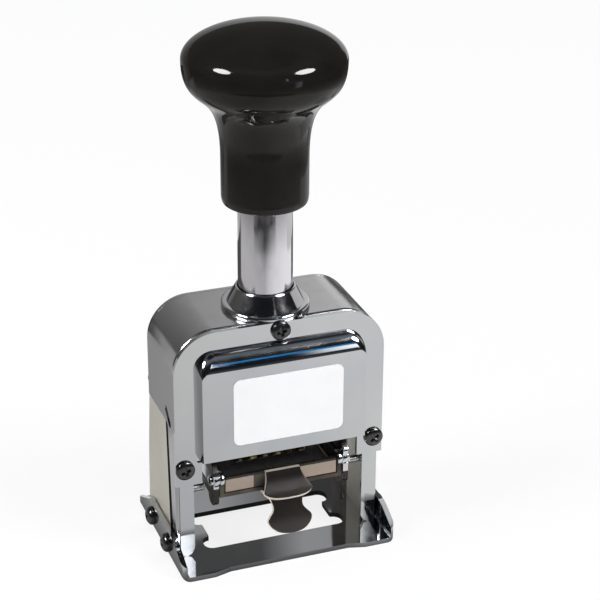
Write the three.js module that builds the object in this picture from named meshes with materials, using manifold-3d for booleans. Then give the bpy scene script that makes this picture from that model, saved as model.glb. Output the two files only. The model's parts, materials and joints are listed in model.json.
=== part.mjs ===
// Hand numbering machine: a plunger with a mushroom knob drives six number wheels down through
// the window of a base, while the ink pad swings out of their way on a pair of arms.
// Millimetres. The origin is under the middle of the base, +X right, +Y to the back, +Z up.

import * as THREE from 'three';
import { mergeVertices } from 'three/addons/utils/BufferGeometryUtils.js';
import Module from 'manifold-3d';

const wasm = await Module();
wasm.setup();

// General sizes
const gap = 0.3;
const overrun = 1;
const weldDistance = 0.0001;
const arcStep = Math.PI / 12;
const roundSegments = 20;
const screwSegments = 14;

// Base: one sheet with a window and two upright side flanges
const baseWidth = 65;
const baseDepth = 46.8;
const baseSheet = 1.5;
const baseBendRadius = 1.8;
const baseCornerRadius = 3;
const flangeHeight = 8.5;
const flangeFrontEndHeight = 4.2;
const flangeFrontEndRun = 9;
const flangeRearEndHeight = 2.2;
const flangeRearEndRun = 13;
const flangeEndRounding = 8;
const frontRecessDepth = 1.3;
const frontRecessHalfWidth = 18;
const frontRecessSlope = 4.8;
const frontRecessRounding = 2;
const windowFrontHalf = 9.8;
const windowRearHalf = 9.9;
const windowPocketHalfWidth = 21.6;
const windowPocketRounding = 2.6;
const sightHalfGap = 18.9;
const sightHalfLength = 3.4;
const sightRounding = 0.7;

// Axis of the plunger and of the printing line, seen from above
const axisY = -1.2;

// Housing: an inverted U of chromed sheet whose front edges run down as two columns
const housingTop = 72.2;
const housingWall = 1.2;
const housingRadius = 12;
const housingFrontY = -12.6;
const housingRearY = 12;
const housingSideBottom = 42.1;
const housingFrameWidth = 5.1;
const columnRearTopY = -4.6;
const columnRearLowY = -7.2;
const slotTopY = -4.6;
const slotTopZ = 45.8;
const slotLowY = -7.6;
const slotLowZ = 42.8;
const slotHalfWidth = 1.2;
const slotStudRadius = 0.8;

// Front and rear plates
const plateSheet = 1.2;
const plateOverhang = 0.4;
const frontPlateBottom = 25.6;
const stripWidth = 7.7;
const stripScrewShare = 0.35;
const bulgeDepth = 4.1;
const bulgeBottom = 34.6;
const bulgeHalfWidth = 24.6;
const bulgeTopDrop = 5.7;
const bulgeCorner = 5.2;
const bulgeFaceHalfWidth = 24.1;
const bulgeFaceDrop = 5;
const bulgeFaceCorner = 1.8;
const bulgeCornerSteps = 5;
const notchInset = 0.6;
const notchBelowBulge = 1.4;
const notchRadius = 0.9;
const labelHalfWidth = 16.2;
const labelLowMargin = 3.6;
const labelTopMargin = 3;
const labelOffset = 1;
const labelSheet = 0.25;
const labelCorner = 2;

// Side plates, rabbeted so that their upper part stands inside the housing
const sidePlateSheet = 1.5;
const sidePadRecess = 0.2;
const sidePlateFrontY = -9.6;
const sidePlateTopDrop = 12.2;
const sidePlateUpperRearY = 9.4;
const sidePlateFootRearY = 17;
const sidePlateMiddleRearY = 15.9;
const sidePlateMiddleZ = 22;
const sidePlateShoulderRearY = 13.4;

// Screws
const screwClearance = 0.15;
const panHeadRadius = 2.8;
const panHeadHeight = 1.9;
const domeHeadRadius = 2.8;
const domeHeadHeight = 2;
const screwShankRadius = 1.4;
const screwPastFrame = 1;
const crossHalfLength = 1.5;
const crossHalfWidth = 0.35;
const crossDepth = 0.9;
const frontScrewZ = 30.8;
const topScrewDrop = 2.5;
const rearScrewInset = 2.5;
const rearScrewRise = 4.5;
const baseScrewZ = 4.5;
const baseScrewFrontY = -8;
const baseScrewRearY = 7.5;
const baseScrewPastPlate = 0.3;

// Stem, collar and knob
const stroke = 24;
const stemRadius = 7.7;
const stemWall = 1.3;
const stemInKnob = 15;
const collarFootRadius = 12.55;
const collarRingHeight = 1.5;
const collarRingRounding = 0.6;
const collarConeRadius = 11;
const collarHeight = 5.2;
const collarLipWidth = 0.3;
const stemShown = 31.4;
const knobHeight = 49.6;
const knobLipRadius = 11.4;
const knobLipHeight = 2.4;
const knobNeckRadius = 12.1;
const knobNeckHeight = 13;
const knobCapRadius = 22.3;
const knobWidestHeight = 40.4;
const knobFlareLow = 22.6;
const knobFlareHigh = 14.6;

// Return spring inside the stem, between a fixed cross pin and a plug
const crossPinRadius = 1.5;
const crossPinAboveStemFoot = 2.9;
const crossPinPlay = 0.3;
const seatThickness = 1.5;
const plugHeight = 8;
const plugBelowKnob = 7;
const springWireRadius = 0.6;
const springCoilRadius = 4.9;
const springTurns = 12;
const springStepsPerTurn = 8;
const springSides = 5;

// Carriage: crosshead, cheeks and the wheel axle, placed from the axle
const axleZ = 33.6;
const axleRadius = 2;
const cheekSheet = 1.5;
const cheekToArm = 4.1;
const cheekEyeHalf = 7.5;
const cheekRounding = 7.2;
const cheekLugRearY = 11.3;
const cheekLugBottom = 2.6;
const cheekSmallRounding = 1;
const crossheadBottom = 9.8;
const crossheadThickness = 3;
const crossheadHalfDepth = 6.5;
const guideShoeWidth = 3.4;
const crossheadEndFrontY = -2.4;
const crossheadEndRearY = 4.6;

// Number wheels
const wheelCount = 6;
const wheelFaces = 10;
const wheelRatchetWidth = 0.9;
const wheelRadius = 9.4;
const wheelGrooveDepth = 0.9;
const wheelFaceShare = 0.36;
const wheelGrooveShare = 0.44;
const ratchetRadius = 7.6;
const ratchetToothDepth = 1.4;
const ratchetToothShare = 0.8;

// Detent comb and feed pawl
const combAngle = Math.PI * 40 / 180;
const combInner = 9.8;
const combFingerThickness = 0.6;
const combBarThickness = 1.1;
const combHalfLength = 3.4;
const combBarStart = 1.8;
const combFingerHalfWidth = 1.1;
const feedRestAngle = -Math.PI * 33 / 180;
const feedEyeRadius = 5;
const feedArmHalfWidth = 1.6;
const feedArmReach = 12;
const feedSheet = 1.2;
const pawlInner = 9.8;
const pawlBarInner = 10.6;
const pawlOuter = 11.7;
const pawlHalfThickness = 1.1;
const pawlToothHalfWidth = 1;

// Ink frame: arms that swing on the shoulders of the axle nuts, a cradle and its thumb tab
const armSheet = 1.6;
const armPinClearance = 2.3;
const armHeadHalf = 4.6;
const armRearHalf = 5.1;
const armHeadRounding = 4.2;
const armFrontY = -13.7;
const armFrontTop = -5.2;
const armFrontRounding = 1.6;
const armFootBottom = -16.2;
const armFootWidth = 4.4;
const armFootRounding = 2.1;
const armBottom = -13.6;
const shoulderRadius = 3;
const nutHexRadius = 4;
const nutThickness = 1.7;
const cradleFrontY = -13.3;
const cradleRearY = 5.2;
const cradleSheet = 1.2;
const cradleSideSheet = 1.4;
const cradleFloorTop = -12.3;
const cradleSideTop = -7.3;
const cradlePinY = -11.8;
const cradlePinZ = -8.2;
const cradlePinRadius = 0.9;
const cradlePinHeadRadius = 1.4;
const cradlePinHead = 0.7;
const tabSheet = 1.2;
const thumbTabRootY = -8;
const thumbTabBendY = -14.2;
const thumbTabNeckY = -17;
const thumbTabNeckZ = -16.6;
const thumbTabTipY = -20.8;
const thumbTabTipZ = -25;
const thumbTabRootHalf = 9;
const thumbTabNeckHalf = 4.4;
const thumbTabNeckTop = -15.6;
const thumbTabNeckLow = -18.3;
const thumbTabWideHalf = 7.8;
const thumbTabWideZ = -22.6;
const thumbTabWideRounding = 1;
const thumbTabTipHalf = 4.2;
const thumbTabTipRounding = 3;
const thumbTabNeckRounding = 2.4;
const thumbTabSmallRounding = 1;

// Pad tray, which slides in the cradle, with its fan-shaped finger tab and the ink pad
const traySheet = 0.8;
const trayBarThickness = 1.2;
const trayBarTop = -7.2;
const trayWallTop = -10;
const padBelowWheels = 0.3;
const fanTopHalf = 5.3;
const fanWideHalf = 9.2;
const fanTop = -7;
const fanBendZ = -8.8;
const fanWideZ = -12.7;
const fanTipY = -18.4;
const fanTipZ = -14;
const fanBow = 1.7;
const fanBowSteps = 8;

// Stop pins for the arms, on the side plates
const stopPinY = -10;
const stopPinZ = 22.2;
const stopPinRadius = 1.1;
const stopPinClearance = 0.8;

// Repeat selector on the rear plate
const selectorHeightShare = 0.42;
const dialShare = 0.27;
const dialSheet = 0.8;
const selectorPinRadius = 1.5;
const selectorHeadRadius = 2.6;
const selectorHeadHeight = 1.2;
const selectorEyeRadius = 3.4;
const selectorTipRadius = 1.8;
const selectorSheet = 1;
const selectorKnobRadius = 2;
const selectorKnobHeight = 4;
const selectorRestAngle = Math.PI * 60 / 180;

// Places that follow from the sizes above
const baseFrontY = -baseDepth / 2;
const baseRearY = baseDepth / 2;
const windowFrontY = axisY - windowFrontHalf;
const windowRearY = axisY + windowRearHalf;
const housingHalfWidth = baseWidth / 2 - baseSheet - gap;
const bulgeTop = housingTop - bulgeTopDrop;
const bulgeFaceTop = bulgeTop - bulgeFaceDrop;
const labelBottom = bulgeBottom + labelLowMargin;
const labelTop = bulgeFaceTop - labelTopMargin;
const topScrewZ = housingTop - topScrewDrop;
const rearScrewHalfSpan = housingHalfWidth - rearScrewInset;
const rearScrewZ = housingSideBottom + rearScrewRise;
const selectorZ = housingSideBottom + (housingTop - housingSideBottom) * selectorHeightShare;
const dialRadius = (housingTop - housingSideBottom) * dialShare;
const knobBottom = housingTop + stemShown;
const sidePlateTop = housingTop - sidePlateTopDrop;
const sidePlateOuter = housingHalfWidth - housingWall - gap;
const sidePlateInner = sidePlateOuter - sidePlateSheet;
const sidePlateShoulderZ = housingSideBottom - gap;
const plateHalfWidth = housingHalfWidth + plateOverhang;
const plateRadius = housingRadius + plateOverhang;
const frontPlateY = housingFrontY - plateSheet;
const rearPlateY = housingRearY + plateSheet;
const bulgeY = frontPlateY - bulgeDepth;
const stripInnerHalf = plateHalfWidth - stripWidth;
const notchHalfSpan = stripInnerHalf + notchInset;
const frontScrewHalfSpan = plateHalfWidth - stripWidth * stripScrewShare;
const crossheadEndHalfWidth = sidePlateInner - gap - guideShoeWidth;
const stemBore = stemRadius - stemWall;
const stemFoot = axleZ + crossheadBottom + crossheadThickness;
const stemTop = knobBottom + stemInKnob;
const crossPinZ = stemFoot + crossPinAboveStemFoot;
const seatBottom = crossPinZ + crossPinRadius + gap;
const springBottom = seatBottom + seatThickness + gap;
const plugBottom = knobBottom - plugBelowKnob;
const springLength = plugBottom - gap - springBottom;
const armInner = stripInnerHalf - armPinClearance - cradlePinHead - armSheet;
const armOuter = armInner + armSheet;
const cheekHalfGap = armInner - cheekToArm - cheekSheet;
const wheelPitch = 2 * (cheekHalfGap - gap - feedSheet - gap) / wheelCount;
const wheelWidth = wheelPitch - gap;
const wheelTypeWidth = wheelWidth - wheelRatchetWidth;
const stopPinInner = armOuter + cradlePinHead + stopPinClearance;
const cradleOuter = armInner - gap;
const cradleInner = cradleOuter - cradleSideSheet;
const trayHalfWidth = cradleInner - gap;
const trayFloorBottom = cradleFloorTop + gap;
const padBottom = trayFloorBottom + traySheet;
const padTop = -wheelRadius - padBelowWheels;
const nutFace = armOuter + gap;
const axleHalfLength = nutFace + nutThickness;
const sides = [['left', -1], ['right', 1]];

// Outline helpers. A corner is [u, v, radius], and a radius that is left out is zero.
function arc(centreU, centreV, radius, fromAngle, toAngle, step = arcStep) {
  const steps = Math.max(1, Math.ceil(Math.abs(toAngle - fromAngle) / step));
  const points = [];
  for (let i = 0; i <= steps; i += 1) {
    const angle = fromAngle + (toAngle - fromAngle) * i / steps;
    points.push(new THREE.Vector2(centreU + radius * Math.cos(angle), centreV + radius * Math.sin(angle)));
  }
  return points;
}

function roundedCorner(before, corner, after) {
  const [u, v, radius = 0] = corner;
  const here = new THREE.Vector2(u, v);
  if (radius === 0) {
    return [here];
  }
  const toBefore = new THREE.Vector2(before[0], before[1]).sub(here).normalize();
  const toAfter = new THREE.Vector2(after[0], after[1]).sub(here).normalize();
  const half = Math.acos(THREE.MathUtils.clamp(toBefore.dot(toAfter), -1, 1)) / 2;
  const middle = toBefore.clone().add(toAfter).normalize();
  const centre = here.clone().addScaledVector(middle, radius / Math.sin(half));
  const start = here.clone().addScaledVector(toBefore, radius / Math.tan(half)).sub(centre);
  const end = here.clone().addScaledVector(toAfter, radius / Math.tan(half)).sub(centre);
  const from = Math.atan2(start.y, start.x);
  const turn = Math.atan2(start.cross(end), start.dot(end));
  return arc(centre.x, centre.y, radius, from, from + turn);
}

function outline(corners) {
  const count = corners.length;
  return corners.flatMap((corner, i) => (
    roundedCorner(corners[(i + count - 1) % count], corner, corners[(i + 1) % count])
  ));
}

function circle(centreU, centreV, radius, segments = roundSegments) {
  const points = [];
  for (let i = 0; i < segments; i += 1) {
    const angle = Math.PI * 2 * i / segments;
    points.push(new THREE.Vector2(centreU + radius * Math.cos(angle), centreV + radius * Math.sin(angle)));
  }
  return points;
}

function rectangle(u0, v0, u1, v1) {
  return outline([[u0, v0], [u1, v0], [u1, v1], [u0, v1]]);
}

function mirrored(corners) {
  const other = corners.map(([u, v, radius = 0]) => [-u, v, radius]).reverse();
  return [...corners, ...other];
}

// A strip of sheet seen from its edge, of one thickness along a bent centre line
function band(line, thickness) {
  const points = line.map(([u, v]) => new THREE.Vector2(u, v));
  const normals = [];
  for (let i = 0; i + 1 < points.length; i += 1) {
    const along = points[i + 1].clone().sub(points[i]).normalize();
    normals.push(new THREE.Vector2(-along.y, along.x));
  }
  const offset = (i, side) => {
    const first = normals[Math.max(0, i - 1)];
    const second = normals[Math.min(normals.length - 1, i)];
    const mitre = first.clone().add(second).normalize();
    return points[i].clone().addScaledVector(mitre, side * thickness / 2 / mitre.dot(first));
  };
  const upper = points.map((point, i) => offset(i, 1));
  const lower = points.map((point, i) => offset(i, -1)).reverse();
  return [...upper, ...lower];
}

// Solids from outlines
const uvToXz = new THREE.Matrix4().makeBasis(
  new THREE.Vector3(1, 0, 0),
  new THREE.Vector3(0, 0, 1),
  new THREE.Vector3(0, -1, 0),
);
const uvToYz = new THREE.Matrix4().makeBasis(
  new THREE.Vector3(0, 1, 0),
  new THREE.Vector3(0, 0, 1),
  new THREE.Vector3(1, 0, 0),
);

function extruded(points, depth, holes) {
  const shape = new THREE.Shape(points);
  shape.holes = holes.map((hole) => new THREE.Path(hole));
  return new THREE.ExtrudeGeometry(shape, { depth, bevelEnabled: false, steps: 1 });
}

function alongZ(points, from, to, holes = []) {
  return extruded(points, to - from, holes).translate(0, 0, from);
}

function alongY(points, from, to, holes = []) {
  return extruded(points, to - from, holes).applyMatrix4(uvToXz).translate(0, to, 0);
}

function alongX(points, end0, end1, holes = []) {
  const from = Math.min(end0, end1);
  const to = Math.max(end0, end1);
  return extruded(points, to - from, holes).applyMatrix4(uvToYz).translate(from, 0, 0);
}

// Turned pieces: the profile is [radius, height] points, and the axis is Z
function turned(profile, segments = roundSegments) {
  const points = profile.map(([radius, height]) => new THREE.Vector2(radius, height));
  return facingOut(new THREE.LatheGeometry(points, segments).rotateX(Math.PI / 2));
}

function facingOut(geometry) {
  const bare = welded(geometry);
  const place = bare.getAttribute('position');
  const index = bare.getIndex().array;
  const [a, b, c] = [new THREE.Vector3(), new THREE.Vector3(), new THREE.Vector3()];
  let volume = 0;
  for (let i = 0; i < index.length; i += 3) {
    a.fromBufferAttribute(place, index[i]);
    b.fromBufferAttribute(place, index[i + 1]);
    c.fromBufferAttribute(place, index[i + 2]);
    volume += a.dot(b.cross(c));
  }
  if (volume < 0) {
    for (let i = 0; i < index.length; i += 3) {
      [index[i + 1], index[i + 2]] = [index[i + 2], index[i + 1]];
    }
  }
  return bare;
}

function welded(geometry) {
  const bare = new THREE.BufferGeometry();
  bare.setAttribute('position', geometry.getAttribute('position').clone());
  if (geometry.getIndex()) {
    bare.setIndex(geometry.getIndex().clone());
  }
  const merged = mergeVertices(bare, weldDistance);
  const index = Array.from(merged.getIndex().array);
  const kept = [];
  for (let i = 0; i < index.length; i += 3) {
    const [p, q, r] = index.slice(i, i + 3);
    if (p !== q && q !== r && r !== p) {
      kept.push(p, q, r);
    }
  }
  merged.setIndex(new THREE.BufferAttribute(new Uint32Array(kept), 1));
  return merged;
}

function toSolid(geometry) {
  const bare = welded(geometry);
  return new wasm.Manifold(new wasm.Mesh({
    numProp: 3,
    vertProperties: new Float32Array(bare.getAttribute('position').array),
    triVerts: new Uint32Array(bare.getIndex().array),
  }));
}

function toGeometry(solid) {
  const mesh = solid.getMesh();
  const geometry = new THREE.BufferGeometry();
  geometry.setAttribute('position', new THREE.BufferAttribute(new Float32Array(mesh.vertProperties), 3));
  geometry.setIndex(new THREE.BufferAttribute(new Uint32Array(mesh.triVerts), 1));
  return geometry;
}

function join(first, ...others) {
  return toGeometry(others.reduce((solid, other) => solid.add(toSolid(other)), toSolid(first)));
}

function cut(first, ...tools) {
  return toGeometry(tools.reduce((solid, tool) => solid.subtract(toSolid(tool)), toSolid(first)));
}

function common(first, ...others) {
  return toGeometry(others.reduce((solid, other) => solid.intersect(toSolid(other)), toSolid(first)));
}

// A skin over cross sections that stand across Y, each [y, points] with equally many points
function loftedAlongY(sections) {
  const place = [];
  const index = [];
  const count = sections[0][1].length;
  for (const [y, points] of sections) {
    for (const point of points) {
      place.push(point.x, y, point.y);
    }
  }
  for (let ring = 0; ring + 1 < sections.length; ring += 1) {
    for (let i = 0; i < count; i += 1) {
      const next = (i + 1) % count;
      const a = ring * count + i;
      const b = ring * count + next;
      index.push(a, b, b + count, a, b + count, a + count);
    }
  }
  const last = (sections.length - 1) * count;
  for (const [a, b, c] of THREE.ShapeUtils.triangulateShape(sections[0][1], [])) {
    index.push(a, c, b);
  }
  for (const [a, b, c] of THREE.ShapeUtils.triangulateShape(sections[sections.length - 1][1], [])) {
    index.push(last + a, last + b, last + c);
  }
  const geometry = new THREE.BufferGeometry();
  geometry.setAttribute('position', new THREE.Float32BufferAttribute(place, 3));
  geometry.setIndex(index);
  return facingOut(geometry);
}

// The arch that the housing and both plates share, from its left foot over the top to its right foot
function arch(halfWidth, top, radius, bottom) {
  const left = roundedCorner([-halfWidth, bottom], [-halfWidth, top, radius], [halfWidth, top]);
  const right = roundedCorner([-halfWidth, top], [halfWidth, top, radius], [halfWidth, bottom]);
  return [
    new THREE.Vector2(-halfWidth, bottom),
    ...left,
    ...right,
    new THREE.Vector2(halfWidth, bottom),
  ];
}

function archRing(halfWidth, top, radius, bottom, width) {
  const outer = arch(halfWidth, top, radius, bottom);
  const inner = arch(halfWidth - width, top - width, radius - width, bottom);
  return [...outer, ...inner.reverse()];
}

// Finishes
function finish(color, roughness, metalness) {
  return new THREE.MeshStandardMaterial({ color, roughness, metalness });
}

const chrome = () => finish(0xd9dbde, 0.12, 1);
const nickel = () => finish(0xc2baa3, 0.35, 0.9);
const steel = () => finish(0xa9abad, 0.4, 0.9);
const blackEnamel = () => finish(0x141414, 0.2, 0);
const blackOxide = () => finish(0x2a2421, 0.45, 0.5);
const inkedBrass = () => finish(0x1d1a18, 0.4, 0.5);
const springSteel = () => finish(0x8b8d90, 0.35, 0.9);
const whiteCard = () => finish(0xf4f4f2, 0.5, 0);
const inkedFelt = () => finish(0x0d0d0e, 0.95, 0);

const machine = new THREE.Group();
const plunger = new THREE.Group();
plunger.position.set(0, axisY, 0);
machine.add(plunger);
const carriage = new THREE.Group();
carriage.position.set(0, 0, axleZ);
plunger.add(carriage);

function add(group, name, geometry, material) {
  const mesh = new THREE.Mesh(geometry, material);
  mesh.name = name;
  group.add(mesh);
  return mesh;
}

// Base
function basePlate() {
  const half = baseWidth / 2;
  const inner = half - baseSheet;
  const channel = alongY(outline([
    [-half, 0, baseBendRadius],
    [half, 0, baseBendRadius],
    [half, flangeHeight],
    [inner, flangeHeight],
    [inner, baseSheet],
    [-inner, baseSheet],
    [-inner, flangeHeight],
    [-half, flangeHeight],
  ]), baseFrontY - overrun, baseRearY + overrun);
  const recessOuter = frontRecessHalfWidth + frontRecessSlope;
  const recessY = baseFrontY + frontRecessDepth;
  const plan = outline([
    [-half, baseRearY, baseCornerRadius],
    [-half, baseFrontY, baseCornerRadius],
    [-recessOuter, baseFrontY, frontRecessRounding],
    [-frontRecessHalfWidth, recessY, frontRecessRounding],
    [frontRecessHalfWidth, recessY, frontRecessRounding],
    [recessOuter, baseFrontY, frontRecessRounding],
    [half, baseFrontY, baseCornerRadius],
    [half, baseRearY, baseCornerRadius],
  ]);
  const pocket = windowPocketHalfWidth;
  const sightFront = axisY - sightHalfLength;
  const sightRear = axisY + sightHalfLength;
  const opening = outline(mirrored([
    [-pocket, windowFrontY, windowPocketRounding],
    [-pocket, sightFront, windowPocketRounding],
    [-sightHalfGap, sightFront, sightRounding],
    [-sightHalfGap, sightRear, sightRounding],
    [-pocket, sightRear, windowPocketRounding],
    [-pocket, windowRearY, windowPocketRounding],
  ]));
  const body = alongZ(plan, -overrun, flangeHeight + overrun, [opening]);
  const profile = alongX(outline([
    [baseFrontY - overrun, -overrun],
    [baseRearY + overrun, -overrun],
    [baseRearY + overrun, flangeRearEndHeight],
    [baseRearY, flangeRearEndHeight],
    [baseRearY - flangeRearEndRun, flangeHeight, flangeEndRounding],
    [baseFrontY + flangeFrontEndRun, flangeHeight, flangeEndRounding],
    [baseFrontY, flangeFrontEndHeight],
    [baseFrontY - overrun, flangeFrontEndHeight],
  ]), -half - overrun, half + overrun);
  return cut(common(channel, body, profile), ...baseScrewHoles());
}

function baseScrewHoles() {
  const reach = baseWidth / 2 + overrun;
  const radius = screwShankRadius + screwClearance;
  return [baseScrewFrontY, baseScrewRearY].map((y) => (
    alongX(circle(y, baseScrewZ, radius), -reach, reach)
  ));
}

add(machine, 'base_plate', basePlate(), chrome());

// Side plates
function sidePlate(side) {
  const rearEdge = [
    [sidePlateFootRearY, baseSheet],
    [sidePlateMiddleRearY, sidePlateMiddleZ],
    [sidePlateShoulderRearY, sidePlateShoulderZ],
  ];
  const slab = alongX(outline([
    [sidePlateFrontY, baseSheet],
    ...rearEdge,
    [sidePlateUpperRearY, sidePlateShoulderZ],
    [sidePlateUpperRearY, sidePlateTop],
    [sidePlateFrontY, sidePlateTop],
  ]), side * sidePlateInner, side * sidePlateOuter);
  const padOuter = housingHalfWidth - sidePadRecess;
  const pad = alongX(outline([
    [columnRearLowY + gap, baseSheet],
    ...rearEdge,
    [columnRearTopY + gap, sidePlateShoulderZ],
  ]), side * (sidePlateInner + sidePlateSheet / 2), side * padOuter);
  const pinHole = alongX(
    circle(axisY, crossPinZ, crossPinRadius + screwClearance),
    side * (sidePlateInner - overrun),
    side * (sidePlateOuter + overrun),
  );
  return cut(join(slab, pad), pinHole, ...baseScrewHoles());
}

for (const [name, side] of sides) {
  add(machine, `side_plate_${name}`, sidePlate(side), nickel());
}

// Housing
function housingShell() {
  const shell = alongY(
    archRing(housingHalfWidth, housingTop, housingRadius, baseSheet, housingWall),
    housingFrontY,
    housingRearY,
  );
  const frame = archRing(housingHalfWidth, housingTop, housingRadius, baseSheet, housingFrameWidth);
  const frontFrame = alongY(frame, housingFrontY, housingFrontY + housingWall);
  const rearFrame = alongY(frame, housingRearY - housingWall, housingRearY);
  const reach = housingHalfWidth + overrun;
  const profile = alongX(outline([
    [housingFrontY - overrun, baseSheet],
    [columnRearLowY, baseSheet],
    [columnRearTopY, housingSideBottom],
    [housingRearY + overrun, housingSideBottom],
    [housingRearY + overrun, housingTop + overrun],
    [housingFrontY - overrun, housingTop + overrun],
  ]), -reach, reach);
  const stemHole = alongZ(
    circle(0, axisY, stemRadius + 2 * gap),
    housingTop - housingWall - overrun,
    housingTop + overrun,
  );
  const slot = alongX(slotOutline(), -reach, reach);
  return cut(
    common(join(shell, frontFrame, rearFrame), profile),
    stemHole,
    slot,
    ...baseScrewHoles(),
    ...frontScrewHoles(housingFrontY - overrun, housingFrontY + housingWall + overrun),
    ...rearScrewHoles(housingRearY - housingWall - overrun, housingRearY + overrun),
  );
}

function slotOutline() {
  const tilt = Math.atan2(slotTopZ - slotLowZ, slotTopY - slotLowY);
  const quarter = Math.PI / 2;
  return [
    ...arc(slotTopY, slotTopZ, slotHalfWidth, tilt - quarter, tilt + quarter),
    ...arc(slotLowY, slotLowZ, slotHalfWidth, tilt + quarter, tilt + 3 * quarter),
  ];
}

function screwPlaces(halfSpan, z) {
  return [['top', 0, topScrewZ], ['left', -halfSpan, z], ['right', halfSpan, z]];
}

function frontScrewHoles(from, to) {
  return screwPlaces(frontScrewHalfSpan, frontScrewZ).map(([, x, z]) => (
    alongY(circle(x, z, screwShankRadius + screwClearance), from, to)
  ));
}

function rearScrewHoles(from, to) {
  return screwPlaces(rearScrewHalfSpan, rearScrewZ).map(([, x, z]) => (
    alongY(circle(x, z, screwShankRadius + screwClearance), from, to)
  ));
}

add(machine, 'housing_shell', housingShell(), chrome());

function collarProfile() {
  const bore = stemRadius + gap;
  const curve = new THREE.QuadraticBezierCurve(
    new THREE.Vector2(collarConeRadius, collarRingHeight),
    new THREE.Vector2(bore + collarLipWidth, (collarRingHeight + collarHeight) / 2),
    new THREE.Vector2(bore + collarLipWidth, collarHeight),
  );
  const steps = 4;
  const quarter = Math.PI / 2;
  const roundingU = collarFootRadius - collarRingRounding;
  const roundingV = collarRingHeight - collarRingRounding;
  return [
    [bore, 0],
    [collarFootRadius, 0],
    ...arc(roundingU, roundingV, collarRingRounding, 0, quarter, quarter / 2).map((point) => [point.x, point.y]),
    ...curve.getPoints(steps).map((point) => [point.x, point.y]),
    [bore, collarHeight],
    [bore, 0],
  ];
}

const collar = add(machine, 'stem_collar', turned(collarProfile(), 2 * roundSegments), chrome());
collar.position.set(0, axisY, housingTop);

for (const [name, side] of sides) {
  const stud = alongX(
    circle((slotTopY + slotLowY) / 2, (slotTopZ + slotLowZ) / 2, slotStudRadius),
    side * sidePlateOuter,
    side * (housingHalfWidth - sidePadRecess),
  );
  add(machine, `slot_stud_${name}`, stud, nickel());
}

// Front plate with its raised panel, which is open at the bottom
function bulgeSection(halfWidth, bottom, top, corner) {
  const quarter = Math.PI / 2;
  const points = [new THREE.Vector2(-halfWidth, bottom), new THREE.Vector2(halfWidth, bottom)];
  for (let i = 0; i <= bulgeCornerSteps; i += 1) {
    const angle = quarter * i / bulgeCornerSteps;
    const u = halfWidth - corner + corner * Math.cos(angle);
    points.push(new THREE.Vector2(u, top - corner + corner * Math.sin(angle)));
  }
  for (let i = 0; i <= bulgeCornerSteps; i += 1) {
    const angle = quarter + quarter * i / bulgeCornerSteps;
    const u = -halfWidth + corner + corner * Math.cos(angle);
    points.push(new THREE.Vector2(u, top - corner + corner * Math.sin(angle)));
  }
  return points;
}

function frontPlate() {
  const sheet = plateSheet;
  const flat = alongY(arch(plateHalfWidth, housingTop, plateRadius, frontPlateBottom), frontPlateY, housingFrontY);
  const mouth = alongY(
    rectangle(-stripInnerHalf, frontPlateBottom - overrun, stripInnerHalf, bulgeBottom),
    frontPlateY - overrun,
    housingFrontY + overrun,
  );
  const notches = sides.map(([, side]) => alongY(
    circle(side * notchHalfSpan, bulgeBottom - notchBelowBulge, notchRadius),
    frontPlateY - overrun,
    housingFrontY + overrun,
  ));
  const foot = bulgeSection(bulgeHalfWidth, bulgeBottom, bulgeTop, bulgeCorner);
  const face = bulgeSection(bulgeFaceHalfWidth, bulgeBottom, bulgeFaceTop, bulgeFaceCorner);
  const outer = loftedAlongY([[frontPlateY + sheet / 2, foot], [frontPlateY, foot], [bulgeY, face]]);
  const low = bulgeBottom - overrun;
  const innerFoot = bulgeSection(bulgeHalfWidth - sheet, low, bulgeTop - sheet, bulgeCorner - sheet);
  const innerFace = bulgeSection(bulgeFaceHalfWidth - sheet, low, bulgeFaceTop - sheet, bulgeFaceCorner - sheet);
  const inner = loftedAlongY([
    [housingFrontY + overrun, innerFoot],
    [housingFrontY, innerFoot],
    [bulgeY + sheet, innerFace],
  ]);
  const holes = frontScrewHoles(frontPlateY - overrun, housingFrontY + overrun);
  return cut(join(cut(flat, mouth, ...notches), outer), inner, ...holes);
}

add(machine, 'front_plate', frontPlate(), chrome());

function frontLabel() {
  const left = labelOffset - labelHalfWidth;
  const right = labelOffset + labelHalfWidth;
  return alongY(outline([
    [left, labelBottom, labelCorner],
    [right, labelBottom, labelCorner],
    [right, labelTop, labelCorner],
    [left, labelTop, labelCorner],
  ]), bulgeY - labelSheet, bulgeY);
}

add(machine, 'front_label', frontLabel(), whiteCard());

function rearPlate() {
  const flat = alongY(arch(housingHalfWidth, housingTop, housingRadius, housingSideBottom), housingRearY, rearPlateY);
  const pivot = alongY(
    circle(0, selectorZ, selectorPinRadius + screwClearance),
    housingRearY - overrun,
    rearPlateY + overrun,
  );
  return cut(flat, pivot, ...rearScrewHoles(housingRearY - overrun, rearPlateY + overrun));
}

add(machine, 'rear_plate', rearPlate(), chrome());

// Screws, made with the head towards +Z and its seat at zero
function screw(headRadius, headHeight, shankLength) {
  const steps = 3;
  const dome = [];
  for (let i = 0; i <= steps; i += 1) {
    const angle = Math.PI / 2 * i / steps;
    dome.push([headRadius * Math.cos(angle), headHeight * (1 + Math.sin(angle)) / 2]);
  }
  dome[steps][0] = 0;
  const body = turned([
    [0, -shankLength],
    [screwShankRadius, -shankLength],
    [screwShankRadius, 0],
    [headRadius, 0],
    ...dome,
  ], screwSegments);
  const low = headHeight - crossDepth;
  const high = headHeight + overrun;
  const first = alongZ(rectangle(-crossHalfLength, -crossHalfWidth, crossHalfLength, crossHalfWidth), low, high);
  const second = alongZ(rectangle(-crossHalfWidth, -crossHalfLength, crossHalfWidth, crossHalfLength), low, high);
  return cut(body, first, second);
}

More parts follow.
